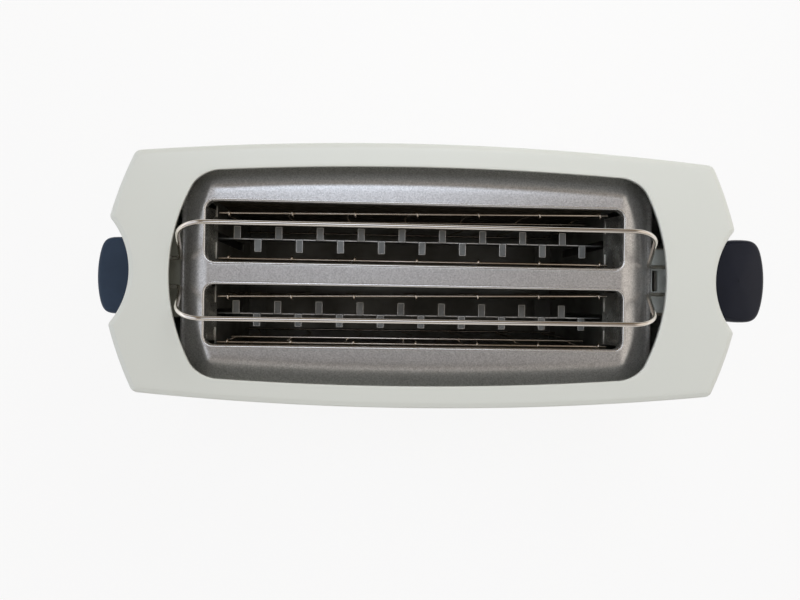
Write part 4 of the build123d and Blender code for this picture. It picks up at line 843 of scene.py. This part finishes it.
# Pale floor that looks near white to the camera and in reflections, and still takes the shadow
def makeFloor():
    half = floorLook["half"]
    mesh = bpy.data.meshes.new("floor")
    corners = [(-half, -half, 0), (half, -half, 0), (half, half, 0), (-half, half, 0)]
    mesh.from_pydata(corners, [], [(0, 1, 2, 3)])
    floor = bpy.data.objects.new("floor", mesh)
    bpy.context.scene.collection.objects.link(floor)
    material, tree, shader = startMaterial("paleFloor")
    shader.inputs["Base Color"].default_value = floorLook["tone"]
    shader.inputs["Roughness"].default_value = floorLook["roughness"]
    glow = addNode(tree, "Emission", {"Color": (1.0, 1.0, 1.0, 1.0), "Strength": 1.0})
    path = addNode(tree, "LightPath")
    seen = mathNode(tree, "MAXIMUM", path.outputs["Is Camera Ray"], path.outputs["Is Glossy Ray"])
    seen = mathNode(tree, "MAXIMUM", seen, path.outputs["Is Transmission Ray"])
    share = mathNode(tree, "MULTIPLY", seen, floorLook["glow"])
    blend = addNode(tree, "MixShader", {0: share, 1: shader.outputs[0], 2: glow.outputs[0]})
    leave = next(n for n in tree.nodes if n.bl_idname == "ShaderNodeOutputMaterial")
    tree.links.new(blend.outputs[0], leave.inputs["Surface"])
    mesh.materials.append(material)


# The room: one base tone with soft patches laid over it, each round a direction, from nothing at the
# first cosine to full at the second; a stretch under 1 widens a patch along that axis
room = {
    "base": (0.31, 0.275, 0.25), "backdrop": (0.96, 0.96, 0.96),
    "patches": [
        {"toward": (0, 0.85, 0.42), "stretch": (0.5, 1, 1), "cosines": (0.80, 0.93),
         "colour": (0.125, 0.08, 0.03)},
        {"toward": (0, -0.92, 0.40), "stretch": (0.6, 1, 1), "cosines": (0.93, 0.985),
         "colour": (0.95, 0.95, 0.93)},
        {"toward": (0, -1, 0.0), "stretch": (0.5, 1, 1), "cosines": (0.955, 0.99),
         "colour": (0.16, 0.11, 0.07)},
        {"toward": (-0.86, 0, 0.51), "stretch": (1, 0.6, 1), "cosines": (0.82, 0.96),
         "colour": (0.84, 0.86, 0.92)},
        {"toward": (0.86, 0, 0.51), "stretch": (1, 0.6, 1), "cosines": (0.80, 0.96),
         "colour": (0.86, 0.79, 0.72)},
        {"toward": (-1, 0.1, 0.06), "stretch": (1, 0.5, 1.5), "cosines": (0.90, 0.98),
         "colour": (1.3, 1.3, 1.32)},
        {"toward": (1, 0.1, 0.06), "stretch": (1, 0.5, 1.5), "cosines": (0.90, 0.98),
         "colour": (1.0, 0.97, 0.93)},
        {"toward": (0, -0.26, 0.966), "stretch": (0.5, 1, 1), "cosines": (0.955, 0.99),
         "colour": (0.17, 0.155, 0.145)},
        {"toward": (-0.04, 0.32, 0.947), "stretch": (0.55, 1, 1), "cosines": (0.980, 0.996),
         "colour": (2.15, 2.35, 2.7)},
    ],
}


def makeRoom():
    world = bpy.data.worlds.new("room")
    bpy.context.scene.world = world
    world.use_nodes = True
    tree = world.node_tree
    tree.nodes.clear()
    toward = addNode(tree, "TexCoord").outputs["Generated"]
    colour = addNode(tree, "RGB").outputs[0]
    colour.default_value = room["base"] + (1.0,)
    for patch in room["patches"]:
        wide = addNode(tree, "VectorMath", {0: toward, 1: patch["stretch"]}, operation="MULTIPLY").outputs[0]
        wide = addNode(tree, "VectorMath", {0: wide}, operation="NORMALIZE").outputs[0]
        middle = unit(np.array(patch["toward"], float) * np.array(patch["stretch"]))
        aim = addNode(tree, "VectorMath", {0: wide, 1: tuple(middle)}, operation="DOT_PRODUCT")
        low, high = patch["cosines"]
        limits = {"Value": aim.outputs["Value"], "From Min": low, "From Max": high}
        share = addNode(tree, "MapRange", limits, interpolation_type="SMOOTHSTEP")
        colour = mixColours(tree, share.outputs[0], colour, patch["colour"] + (1.0,))
    seen = addNode(tree, "LightPath").outputs["Is Camera Ray"]
    colour = mixColours(tree, seen, colour, room["backdrop"] + (1.0,))
    glow = addNode(tree, "Background", {"Color": colour, "Strength": 1.0})
    addNode(tree, "OutputWorld", {"Surface": glow.outputs[0]})


lamps = [
    {"name": "lampBack", "place": (0.0, 1.2, 0.5), "size": 0.9, "power": 2.6, "colour": (1.0, 1.0, 0.99)},
    {"name": "lampNear", "place": (0.14, 0.36, 0.64), "size": 0.3, "power": 0.98, "colour": (1.0, 1.0, 1.0)},
    {"name": "lampAbove", "place": (0.0, -0.3, 1.4), "size": 0.9, "power": 1.4, "colour": (1.0, 1.0, 1.0)},
]


def makeLamps():
    for lamp in lamps:
        light = bpy.data.lights.new(lamp["name"], "AREA")
        light.energy = lamp["power"]
        light.size = lamp["size"]
        light.color = lamp["colour"]
        place = bpy.data.objects.new(lamp["name"], light)
        place.location = lamp["place"]
        place.visible_glossy = False  # reflections come from the room alone
        aim = -place.location.copy()
        aim.z += 0.15
        place.rotation_euler = aim.to_track_quat("-Z", "Y").to_euler()
        bpy.context.scene.collection.objects.link(place)


def makeCamera():
    view = {"lens": 30.80, "place": (-0.03991, -0.01626, 0.59819), "turn": (0.003, -0.055, 0.016)}
    camera = bpy.data.cameras.new("view")
    camera.sensor_width = 36.0
    camera.lens = view["lens"]
    camera.clip_start = 0.01
    holder = bpy.data.objects.new("view", camera)
    holder.location = view["place"]
    holder.rotation_euler = view["turn"]
    bpy.context.scene.collection.objects.link(holder)
    bpy.context.scene.camera = holder


makeFloor()
makeRoom()
makeLamps()
makeCamera()
bpy.context.scene.view_settings.view_transform = "Standard"
